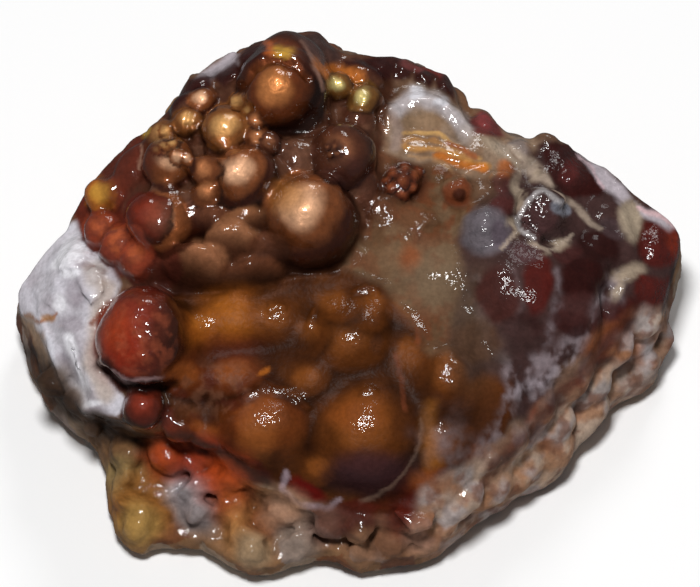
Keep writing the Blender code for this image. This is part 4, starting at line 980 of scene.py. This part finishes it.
def knob_tree():
    """Small knobs thrown on the faces that look away from the eye."""
    tree = node_tree("knobs on the sides", [
        ("Smallest", "NodeSocketFloat"), ("Largest", "NodeSocketFloat"), ("Spacing", "NodeSocketFloat"),
        ("Facets", "NodeSocketInt"), ("Seed", "NodeSocketInt"), ("Sink", "NodeSocketFloat"),
        ("Finish", "NodeSocketMaterial"),
    ])
    given = add_node(tree, "NodeGroupInput").outputs
    normal = add_node(tree, "GeometryNodeInputNormal").outputs["Normal"]
    facing = add_node(tree, "ShaderNodeVectorMath", {0: normal, 1: TO_THE_EYE}, operation="DOT_PRODUCT")
    side = add_node(tree, "ShaderNodeMath", {0: facing.outputs["Value"], 1: AWAY}, operation="LESS_THAN")
    points = add_node(tree, "GeometryNodeDistributePointsOnFaces", {
        "Mesh": given["Geometry"], "Distance Min": given["Spacing"], "Density Max": KNOBS_PER_SQUARE_METRE,
        "Seed": given["Seed"], "Selection": side.outputs["Value"],
    }, distribute_method="POISSON")
    ball = add_node(tree, "GeometryNodeMeshIcoSphere", {"Radius": 1.0, "Subdivisions": given["Facets"]})
    low = add_node(tree, "ShaderNodeCombineXYZ", {axis: given["Smallest"] for axis in range(3)})
    high = add_node(tree, "ShaderNodeCombineXYZ", {axis: given["Largest"] for axis in range(3)})
    size = add_node(tree, "FunctionNodeRandomValue", {
        0: low.outputs[0], 1: high.outputs[0], "Seed": given["Seed"],
    }, data_type="FLOAT_VECTOR")
    turn = add_node(tree, "FunctionNodeRandomValue", {
        0: (0, 0, 0), 1: (FULL_TURN, FULL_TURN, FULL_TURN), "Seed": given["Seed"],
    }, data_type="FLOAT_VECTOR")
    inward = add_node(tree, "ShaderNodeVectorMath", {0: points.outputs["Normal"], "Scale": given["Sink"]},
                      operation="SCALE")
    sunk = add_node(tree, "GeometryNodeSetPosition", {
        "Geometry": points.outputs["Points"], "Offset": inward.outputs["Vector"],
    })
    join_copies(tree, given, sunk.outputs["Geometry"], ball, turn.outputs["Value"], size.outputs["Value"])
    return tree


def seed_mesh():
    """A point for every lump, with its size and its turn as attributes."""
    mesh = bpy.data.meshes.new("seeds")
    mesh.from_pydata([seat(a, u, lift) * MM for a, u, _, _, _, lift, _, _ in lumps], [], [])
    sizes = [c * MM for _, _, wide, high, _, _, bulge, _ in lumps for c in (wide, high, bulge)]
    turns = []
    for _, _, _, _, turn, _, _, tilt in lumps:
        spin = Matrix.Rotation(math.radians(turn), 4, "Z") @ Matrix.Rotation(math.radians(tilt), 4, "X")
        turns += (EYE_TURN @ spin).to_euler()
    mesh.attributes.new("size", "FLOAT_VECTOR", "POINT").data.foreach_set("vector", sizes)
    mesh.attributes.new("turn", "FLOAT_VECTOR", "POINT").data.foreach_set("vector", turns)
    return mesh


def side_knobs():
    """Low knobs over the hidden back, the same ones as the solid has."""
    chance = random.Random(KNOB_SEED)
    for row, share in enumerate((0.28, 0.55, 0.8)):
        for count in range(16):
            angle = math.radians(14 + 152 * (count + 0.5 * (row % 2)) / 15.5)
            reach = float(radius_round(RIM + SKIRT, np.array([angle]))[0])
            rim = seat(reach * math.cos(angle), reach * math.sin(angle), 0)
            belly = BELLY_BEHIND * math.sin(angle) ** 0.5 * min(1.0, 1.9 * (1 - share))
            radius = chance.uniform(1.4, 2.5)
            sink = radius - chance.uniform(0.4, 0.9)
            middle = Vector((rim.x * 0.94, rim.y + belly - sink, rim.z * share))
            spin = Matrix.Rotation(math.radians(40 * count), 4, "Z")
            sizes = Matrix.Diagonal((radius, radius, radius * 0.8, 1))
            where = Matrix.Translation(middle) @ EYE_TURN @ spin @ sizes
            bmesh.ops.create_icosphere(body, subdivisions=4, radius=1.0, matrix=where)


side_knobs()
body.transform(Matrix.Scale(MM, 4))
mesh = bpy.data.meshes.new("stone")
body.to_mesh(mesh)
body.free()
stone = bpy.data.objects.new("fire_agate_stone", mesh)
seeds = bpy.data.objects.new("seeds", seed_mesh())
for thing in (stone, seeds):
    bpy.context.scene.collection.objects.link(thing)
finish = bpy.data.materials.new("iron-stained chalcedony")
grow(stone, knob_tree(), {
    "Smallest": 0.5 * MM, "Largest": 1.3 * MM, "Spacing": 1.3 * MM, "Facets": 2, "Seed": 8,
    "Sink": -0.45 * MM, "Finish": finish,
})
grow(stone, seed_tree(), {"Seeds": seeds, "Ball detail": 5, "Finish": finish})
fused = stone.modifiers.new("fuse", "REMESH")
fused.mode = "VOXEL"
fused.voxel_size = VOXEL


def take_shape(thing):
    """Turn what the modifiers make into the object's plain mesh."""
    shaped = bpy.data.meshes.new_from_object(thing.evaluated_get(bpy.context.evaluated_depsgraph_get()))
    thing.modifiers.clear()
    thing.data = shaped
    return shaped


mesh = take_shape(stone)
bpy.data.objects.remove(seeds)

# The noise starts from a fixed place, so that the stone comes out the same each time.
noise.seed_set(NOISE_SEED)
# How deep behind the face a point may lie before it counts as hidden, from hardly to fully.
SHOWN_DEPTH = 1.2, 2.8
FACE_STRIDE = 20_000


class Skin:
    """The stone's surface as rows of numbers, in millimetres."""

    def __init__(self, mesh):
        self.mesh = mesh
        flat = np.empty(len(mesh.vertices) * 3, dtype=np.float32)
        mesh.vertices.foreach_get("co", flat)
        self.points = flat.reshape(-1, 3).astype(float) / MM
        flat = np.empty(len(mesh.edges) * 2, dtype=np.int32)
        mesh.edges.foreach_get("vertices", flat)
        self.pairs = flat.reshape(-1, 2)
        self.look()

    def look(self):
        """Where each point shows on the face, and how much of it is on the show side."""
        cos, sin = math.cos(FACE_ELEVATION), math.sin(FACE_ELEVATION)
        x, y, z = self.points.T
        self.across, self.up = x, y * sin + z * cos
        heights = np.concatenate([
            face.height(x[i:i + FACE_STRIDE], self.up[i:i + FACE_STRIDE])
            for i in range(0, len(x), FACE_STRIDE)
        ])
        back = (self.up - heights * cos) / sin
        depth = (heights * sin - back * cos) - (z * sin - y * cos)
        self.shown = 1 - step(depth, *SHOWN_DEPTH)
        wander = self.rumple3(2.2, 3) * 0.4 + self.rumple3(0.8, 4) * 0.15
        self.a = x + wander[:, 0]
        self.u = self.up + wander[:, 1]

    def rumple(self, size, octaves=2, seed=0, stretch=None):
        """Smooth noise from about -1 to 1, with patches of about this size."""
        start = Vector((seed * 17.3, seed * 5.1, seed * 9.7))
        spots = self.points / size / (stretch or (1.0, 1.0, 1.0))
        return np.array([noise.fractal(Vector(p) + start, 0.9, 2.0, octaves) for p in spots])

    def rumple3(self, size, seed=0):
        """The same three ways at once, to push points about."""
        start = Vector((seed * 17.3, seed * 5.1, seed * 9.7))
        return np.array([noise.noise_vector(Vector(p) / size + start) for p in self.points])

    def normals(self):
        """Write the points to the mesh and return its outward directions."""
        self.mesh.vertices.foreach_set("co", (self.points * MM).astype(np.float32).ravel())
        self.mesh.update()
        flat = np.empty(len(self.points) * 3, dtype=np.float32)
        self.mesh.vertex_normals.foreach_get("vector", flat)
        return flat.reshape(-1, 3).astype(float)

    def smooth(self, values, times, share=0.5):
        """Values eased towards those of their neighbours, so many times."""
        one, two = self.pairs.T
        count = np.bincount(self.pairs.ravel(), minlength=len(values))[:, None]
        for _ in range(times):
            total = np.stack([
                np.bincount(one, values[two, axis], len(values))
                + np.bincount(two, values[one, axis], len(values))
                for axis in range(values.shape[1])
            ], axis=1)
            values = values + share * (total / np.maximum(count, 1) - values)
        return values


# The relief. Clear chalcedony has filled the creases between bubbles, most of all over the amber
# terrace and the dome. Fractures, rims and the edges of films stand out as thin lines.

# Each line: its points, its half width and how far it stands up.
LINES = [
    ([(-8.3, 15.4), (-7.5, 16.8), (-6.3, 17.5), (-5.2, 17.6), (-4.0, 17.2), (-3.1, 16.3)], 0.55, -0.5),
    ([(-8.6, 15.5), (-7.8, 17.1), (-6.5, 17.9), (-5.2, 18.0), (-3.9, 17.6)], 0.4, 0.15),
    ([(-11.1, 11.3), (-9.4, 10.4), (-7.6, 11.3)], 0.4, -0.2), ([(-9.4, 10.4), (-9.5, 9.9)], 0.4, -0.15),
    ([(-12.0, 13.6), (-12.2, 12.5), (-12.0, 11.6)], 0.4, -0.25),
    ([(-12.2, 12.5), (-11.4, 12.6)], 0.3, -0.15), ([(-9.9, 9.8), (-9.7, 8.6), (-10.1, 7.2)], 0.4, -0.2),
    ([(-11.9, 8.3), (-9.8, 8.2)], 0.3, -0.15), ([(-5.4, 8.0), (-5.8, 6.4), (-5.2, 4.4)], 0.5, -0.1),
    ([(-1.4, 7.6), (-0.6, 6.4), (-0.8, 4.6)], 0.5, -0.1),
    ([(-22.8, -3.2), (-21.6, -5.7), (-19.9, -8.8)], 0.6, 0.3),
    ([(-21.2, -4.2), (-20.6, -6.0), (-20.1, -7.5)], 1.1, -0.4),
    ([(-18.6, -5.1), (-17.1, -6.2), (-15.2, -6.7), (-13.4, -6.1)], 0.45, 0.2),
    ([(-18.4, -5.8), (-17.0, -6.8), (-15.2, -7.3), (-13.2, -6.7)], 0.5, -0.3),
    ([(-8.0, -7.8), (-6.6, -7.0), (-4.2, -7.5), (-3.3, -8.4)], 0.35, 0.22),
    ([(0.4, 0.2), (1.2, 0.5), (2.0, 0.2)], 0.35, 0.2),
    ([(-6.1, -1.2), (-5.6, -0.8), (-4.9, -0.9)], 0.35, 0.2),
    ([(0.8, -7.3), (1.4, -7.2), (2.0, -7.3)], 0.35, 0.2), ([(-2.7, -1.6), (-3.1, -2.7)], 0.35, 0.15),
    ([(-14.8, 0.5), (-13.6, -0.2)], 0.4, 0.15), ([(-17.5, 6.4), (-17.1, 7.3)], 0.4, 0.2),
    ([(-18.7, 3.0), (-17.9, 2.4)], 0.4, 0.15), ([(-12.8, 4.6), (-12.6, 5.6), (-12.9, 6.6)], 0.5, 0.1),
    (CRATER_RING, 0.6, 0.5),
    ([(11.8, 11.2), (12.4, 10.5), (13.1, 9.9)], 0.4, 0.2), ([(7.1, 7.9), (7.5, 8.6), (8.1, 9.0)], 0.4, 0.15),
    ([(8.7, 8.8), (9.4, 9.2), (10.1, 9.4)], 0.4, 0.15), ([(10.4, 3.1), (11.6, 3.6)], 0.4, 0.1),
    ([(4.0, 12.1), (6.5, 12.0), (8.0, 11.1), (9.6, 10.4)], 0.4, 0.1),
    ([(4.3, 11.1), (6.6, 10.7), (8.3, 10.2), (10.2, 9.8)], 0.4, 0.1),
    ([(4.4, 14.9), (6.5, 14.7), (8.0, 13.4), (8.9, 12.1)], 0.6, 0.2),
    ([(5.3, 4.9), (6.0, 5.5), (6.7, 5.3)], 0.4, 0.12),
]


def line_at(skin, route, width):
    """1 along a line on the face, falling to 0 at this distance, with no wandering."""
    nearest = distance(zip(route, route[1:]), skin.across, skin.up)
    return np.clip(1 - (nearest / width) ** 2, 0, 1) ** 2 * skin.shown


skin = Skin(mesh)
open_berries = 1 - 0.9 * np.maximum(oval(4.0, 8.3, 1.9, 1.6)(skin), oval(8.1, 7.7, 1.3, 1.2)(skin))
glassy = amber_field(skin) + dome_field(skin) * 0.8 + tan_shoulder(skin) + banded_top(skin) * 0.6
glassy = np.clip(glassy, 0, 1) * open_berries
white = white_end(skin)
matrix = np.clip(np.maximum(step(past_crust(skin.a, skin.u), -0.1, 0.5), 1 - skin.shown) - white, 0, 1)
bubbly = np.clip(1 - glassy - white - matrix, 0, 1)
near = skin.smooth(skin.points, 2)
far = skin.smooth(near, 24)
farther = skin.smooth(far, 160)
worn = skin.smooth(near, 8)
points = near + (far - near) * (glassy * 0.9)[:, None] + (worn - near) * (matrix * 0.9)[:, None]
skin.points = points
outward = skin.normals()
fill = np.einsum("ij,ij->i", far - points, outward)
points = points + outward * (np.clip(fill, 0, 1.2) * bubbly * 0.75)[:, None]
level = np.maximum(amber_field(skin), tan_shoulder(skin)) * 0.2 * open_berries + glassy * 0.6
points = points + (farther - points) * level[:, None]
lines = np.zeros(len(points))
for route, width, height in LINES:
    lines += height * line_at(skin, route, width)
skin.points = points + outward * lines[:, None]
rough = (0.1 * (1 - white) * (1 - glassy))[:, None]
skin.points = skin.points + skin.rumple3(3.2, 1) * 0.3 + skin.rumple3(1.2, 2) * rough
outward = skin.normals()
crags = (0.35 - np.abs(skin.rumple(2.4, 3, 5))) * (1 - 0.75 * step(skin.across, 4, 9) * skin.shown)
fine = skin.rumple(0.6, 3, 6)
relief = crags * 0.25 * matrix + fine * (0.01 + 0.035 * matrix + 0.01 * white)
skin.points = skin.points + outward * relief[:, None]
skin.normals()

# The worn underside. The stone lay on it and was rubbed flat, so the skin is cut level there and
# closed again. Before that the sides that no one sees are given fewer faces than the show face.

FACES_KEPT = 214_000
HIDDEN_PULL = 2.5e-5
skin.look()
hidden = stone.vertex_groups.new(name="hidden sides")
for weight in (0.0, 0.25, 0.5, 0.75, 1.0):
    chosen = np.nonzero(np.abs(skin.shown - weight) <= 0.125)[0]
    hidden.add(chosen.tolist(), 1 - weight / 2, "REPLACE")
thin = stone.modifiers.new("fewer faces", "DECIMATE")
thin.ratio = FACES_KEPT / (2 * len(mesh.polygons))
thin.vertex_group = hidden.name
thin.vertex_group_factor = HIDDEN_PULL
mesh = take_shape(stone)
stone.vertex_groups.clear()
cut = bmesh.new()
cut.from_mesh(mesh)
bmesh.ops.bisect_plane(
    cut, geom=cut.verts[:] + cut.edges[:] + cut.faces[:], dist=1e-6,
    plane_co=(0, 0, 0), plane_no=(0, 0, 1), clear_inner=True,
)
bmesh.ops.holes_fill(cut, edges=[e for e in cut.edges if e.is_boundary], sides=0)
bmesh.ops.triangulate(cut, faces=cut.faces[:])
cut.to_mesh(mesh)
cut.free()

# The colours. Iron in the chalcedony, with painted light and shade among the marks, painted on the
# finished surface: first a speckled matrix, then the marks in the order that they were set down,
# then painted shade in the creases and the wide hollows of the amber terrace, and a fine mottling.

skin = Skin(mesh)
outward = skin.normals()
hollow = np.einsum("ij,ij->i", skin.smooth(skin.points, 10) - skin.points, outward)
dip = np.einsum("ij,ij->i", skin.smooth(skin.points, 60) - skin.points, outward)
paint = {
    "tint": np.tile(colour(104, 76, 58), (len(skin.points), 1)),
    "metal": np.zeros(len(skin.points)),
    "dull": np.full(len(skin.points), 0.42),
}


def lay(mask, tone, opacity=1.0, metal=None, dull=None):
    """Lay one colour over the paint so far, with how metallic and dull it is if that is given."""
    share = np.clip(mask * opacity, 0, 1)
    paint["tint"] = paint["tint"] + share[:, None] * (tone - paint["tint"])
    for name, value in (("metal", metal), ("dull", dull)):
        if value is not None:
            paint[name] = paint[name] + share * (value - paint[name])


CELL = 2.6
cells = np.array([noise.voronoi(Vector(p) / CELL)[1][0] for p in skin.points])
pick = np.modf(np.abs(np.sin(cells @ np.array([12.9, 78.2, 37.7])) * 4375.5))[0]
matrix = np.clip(np.maximum(step(past_crust(skin.a, skin.u), -0.1, 0.5), 1 - skin.shown), 0, 1)
lay(matrix, colour(126, 92, 64), 1.0, 0.0, 0.48)
for low, high, tone in [
    (0.0, 0.18, (142, 104, 66)), (0.18, 0.32, (134, 122, 116)), (0.32, 0.44, (110, 62, 36)),
    (0.44, 0.54, (86, 46, 36)), (0.54, 0.66, (152, 132, 112)), (0.66, 0.74, (120, 74, 44)),
]:
    lay(matrix * ((pick >= low) & (pick < high)), colour(*tone), 0.75)
for mask, shade, opacity, metal, dull in marks:
    lay(mask(skin), shade(skin) if callable(shade) else shade, opacity, metal, dull)
# Painted shade: creases darkened all over, less on the white end, and the amber terrace's wide hollows
# darkened more.
painted_crease_shade = np.clip(hollow / 0.12, 0, 1)
for mask, share, opacity in [
    (painted_crease_shade * (1 - white_end(skin)), 0.35, 0.7), (painted_crease_shade * white_end(skin), 0.7, 0.5),
    (np.clip(dip / 0.2, 0, 1) * amber_field(skin), 0.45, 0.85),
]:
    lay(mask, paint["tint"] * share, opacity)
calm = 1 - 0.6 * np.clip(amber_field(skin) + tan_shoulder(skin) + white_end(skin), 0, 1)
mottle = calm * (0.2 * skin.rumple(0.8, 3, 71) + 0.14 * skin.rumple(3.0, 2, 72))
tint = np.clip(paint["tint"] * (1 + mottle)[:, None], 0.001, 1)
layer = mesh.color_attributes.new("tint", "FLOAT_COLOR", "POINT")
layer.data.foreach_set("color", np.hstack([tint, np.ones((len(tint), 1))]).astype(np.float32).ravel())

# The clear film. Wet-looking gloss lies over the bubbles and rims, is rubbed off in the hollows and
# on the matrix, and catches the light over the soft fields in the spots that are listed here.

soft = np.clip(amber_field(skin) + tan_shoulder(skin) + 0.8 * dome_field(skin), 0, 1)
film = (1 - 0.9 * np.clip(np.maximum(hollow / 0.08, dip / 0.3), 0, 1)) * (1 - 0.6 * matrix) * (1 - soft)
quiet = vein([(-13.5, 2.6), (-10.4, -0.2), (-7.5, 0.3), (-3.5, 1.0), (0.6, 1.8), (3.4, 1.6)], 3.4)
film *= (1 - 0.8 * quiet(skin)) * (1 - 0.85 * oval(-9.4, 2.6, 5.2, 3.4, 0, 0.3)(skin))
wet = np.zeros(len(skin.points))
for a, u, wide, high in [
    (0.2, -3.6, 1.0, 0.9), (1.9, -3.8, 0.35, 0.8), (-6.0, -9.2, 1.5, 0.9), (1.0, -9.1, 1.0, 1.2),
    (7.4, -5.8, 0.9, 1.1), (-11.0, -2.2, 0.6, 0.7), (-5.4, -1.4, 0.8, 0.7), (-0.8, -0.9, 1.0, 0.6),
    (1.7, -1.5, 0.7, 0.8), (1.2, 0.4, 0.8, 0.3), (-2.8, -2.1, 0.3, 0.7), (1.3, -7.2, 0.6, 0.25),
    (-7.4, -7.3, 0.8, 0.35), (-5.4, -7.1, 1.2, 0.25), (-3.7, -7.9, 0.6, 0.4), (7.3, -10.0, 0.6, 0.5),
    (2.3, 6.0, 1.2, 0.8), (4.8, 4.4, 0.8, 0.5), (7.8, 1.5, 0.7, 0.9), (6.4, 1.3, 0.5, 0.4),
    (6.0, 5.5, 1.0, 0.5), (7.6, 8.5, 1.0, 0.5), (4.0, 8.4, 1.3, 1.1), (11.6, 1.6, 0.7, 0.6),
    (14.4, 5.6, 1.9, 2.1), (9.9, 4.2, 1.0, 0.8), (10.2, 6.1, 0.8, 0.7), (16.3, 9.6, 2.0, 1.8),
    (23.5, 3.4, 1.5, 1.8), (22.9, 0.2, 1.3, 1.2), (11.6, 10.6, 1.6, 0.6), (-8.8, 4.8, 0.5, 0.3),
]:
    wet = np.maximum(wet, oval(a, u, wide, high, 0, 0.4)(skin))
film = np.maximum(film, wet)
for name, values in (("metal", paint["metal"]), ("dull", paint["dull"]), ("film", film), ("wet", wet)):
    layer = mesh.attributes.new(name, "FLOAT", "POINT")
    layer.data.foreach_set("value", values.astype(np.float32))

# The finished stone. It is centred over the solid's box and stands on the same surface. The finish
# is one glossy stone: its colour and gloss come from the paint, a fine grain from noise.

low, high = (np.array(c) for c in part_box("fire_agate"))
corners = skin.points * MM
shift = Vector((
    (low[0] + high[0]) / 2 - (corners[:, 0].min() + corners[:, 0].max()) / 2,
    (low[1] + high[1]) / 2 - (corners[:, 1].min() + corners[:, 1].max()) / 2,
    0.0,
))
mesh.transform(Matrix.Translation(shift))
mesh.shade_smooth()

finish.use_nodes = True
tree = finish.node_tree
shader = tree.nodes["Principled BSDF"]
spot = add_node(tree, "ShaderNodeTexCoord").outputs["Object"]
layout = add_node(tree, "ShaderNodeAttribute", attribute_name="tint").outputs["Color"]
grain = add_node(tree, "ShaderNodeTexNoise", {"Vector": spot, "Scale": 3200.0, "Detail": 3.0})
darker = add_node(tree, "ShaderNodeMapRange", {
    "Value": grain.outputs["Fac"], "From Min": 0.3, "From Max": 0.7, "To Min": 0.88, "To Max": 1.12,
})
mottled = add_node(tree, "ShaderNodeVectorMath", {
    0: layout, 1: darker.outputs["Result"],
}, operation="MULTIPLY")
tree.links.new(mottled.outputs["Vector"], shader.inputs["Base Color"])
for name, socket in (("metal", "Metallic"), ("dull", "Roughness"), ("film", "Coat Weight")):
    value = add_node(tree, "ShaderNodeAttribute", attribute_name=name).outputs["Fac"]
    tree.links.new(value, shader.inputs[socket])
wrinkle = add_node(tree, "ShaderNodeTexNoise", {"Vector": spot, "Scale": 2600.0, "Detail": 2.0})
wet = add_node(tree, "ShaderNodeAttribute", attribute_name="wet").outputs["Fac"]
depth = add_node(tree, "ShaderNodeMath", {0: wet, 1: 1.6, 2: 1.0}, operation="MULTIPLY_ADD")
rise = add_node(tree, "ShaderNodeMath", {
    0: wrinkle.outputs["Fac"], 1: depth.outputs["Value"],
}, operation="MULTIPLY")
bump = add_node(tree, "ShaderNodeBump", {
    "Height": rise.outputs["Value"], "Distance": 0.05 * MM, "Strength": 1.0,
})
for socket in ("Normal", "Coat Normal"):
    tree.links.new(bump.outputs["Normal"], shader.inputs[socket])
shader.inputs["Coat Roughness"].default_value = 0.04
shader.inputs["Specular IOR Level"].default_value = 0.04
mesh.materials.clear()
mesh.materials.append(finish)
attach(stone, "root")
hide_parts("fire_agate")

# The floor. A plain pale sheet that the stone lies on, three metres each way. It stays out of the
# stone's mirror reflections, where its edge of light would draw white outlines on the rims.

FLOOR_HALF = 1.5
floor_mesh = bpy.data.meshes.new("floor")
floor_mesh.from_pydata([
    (x * FLOOR_HALF, y * FLOOR_HALF, 0) for x, y in ((-1, -1), (1, -1), (1, 1), (-1, 1))
], [], [(0, 1, 2, 3)])
floor = bpy.data.objects.new("floor", floor_mesh)
bpy.context.scene.collection.objects.link(floor)
pale = bpy.data.materials.new("pale floor")
pale.use_nodes = True
pale.node_tree.nodes["Principled BSDF"].inputs["Base Color"].default_value = (0.92, 0.92, 0.92, 1)
floor_mesh.materials.append(pale)
floor.visible_glossy = False

# The light. One round lamp nearly overhead makes the single highlights on the bubbles, a weaker
# one behind lifts the upper rim, and a faint even sky fills the shadows.

bpy.context.scene.view_settings.view_transform = "Standard"
world = bpy.data.worlds.new("studio")
bpy.context.scene.world = world
world.use_nodes = True
world.node_tree.nodes["Background"].inputs["Color"].default_value = (1, 1, 1, 1)
world.node_tree.nodes["Background"].inputs["Strength"].default_value = 0.09

HEART = Vector((0, 0, 10.0 * MM))
LAMP_AWAY = 0.5


def lamp(name, azimuth, elevation, size, power):
    """A round lamp that looks at the stone from this direction."""
    light = bpy.data.lights.new(name, "AREA")
    light.shape = "DISK"
    light.size = size
    light.energy = power
    thing = bpy.data.objects.new(name, light)
    a = math.radians(azimuth)
    e = math.radians(elevation)
    way = Vector((math.sin(a) * math.cos(e), -math.cos(a) * math.cos(e), math.sin(e)))
    thing.location = HEART + way * LAMP_AWAY
    thing.rotation_euler = (HEART - thing.location).to_track_quat("-Z", "Y").to_euler()
    bpy.context.scene.collection.objects.link(thing)


lamp("overhead", -25, 80, 0.10, 2.3)
lamp("behind", 165, 42, 0.14, 0.45)

# The camera. It looks at the show face square on, from far off with a long lens, so that the
# stone fills the width as it does in the photograph.

camera_data = bpy.data.cameras.new("camera")
camera = bpy.data.objects.new("camera", camera_data)
bpy.context.scene.collection.objects.link(camera)
bpy.context.scene.camera = camera
FRAME_WIDTH = 52.5 * MM
DISTANCE = 1.0
camera_data.sensor_width = 36
camera_data.lens = 36 * DISTANCE / FRAME_WIDTH
camera_data.clip_start = 0.05
AIM_HEIGHT = 12.0
aim = place(0, 0, AIM_HEIGHT) * MM + shift
camera.location = aim + TO_THE_EYE * DISTANCE
camera.rotation_euler = (-TO_THE_EYE).to_track_quat("-Z", "Y").to_euler()
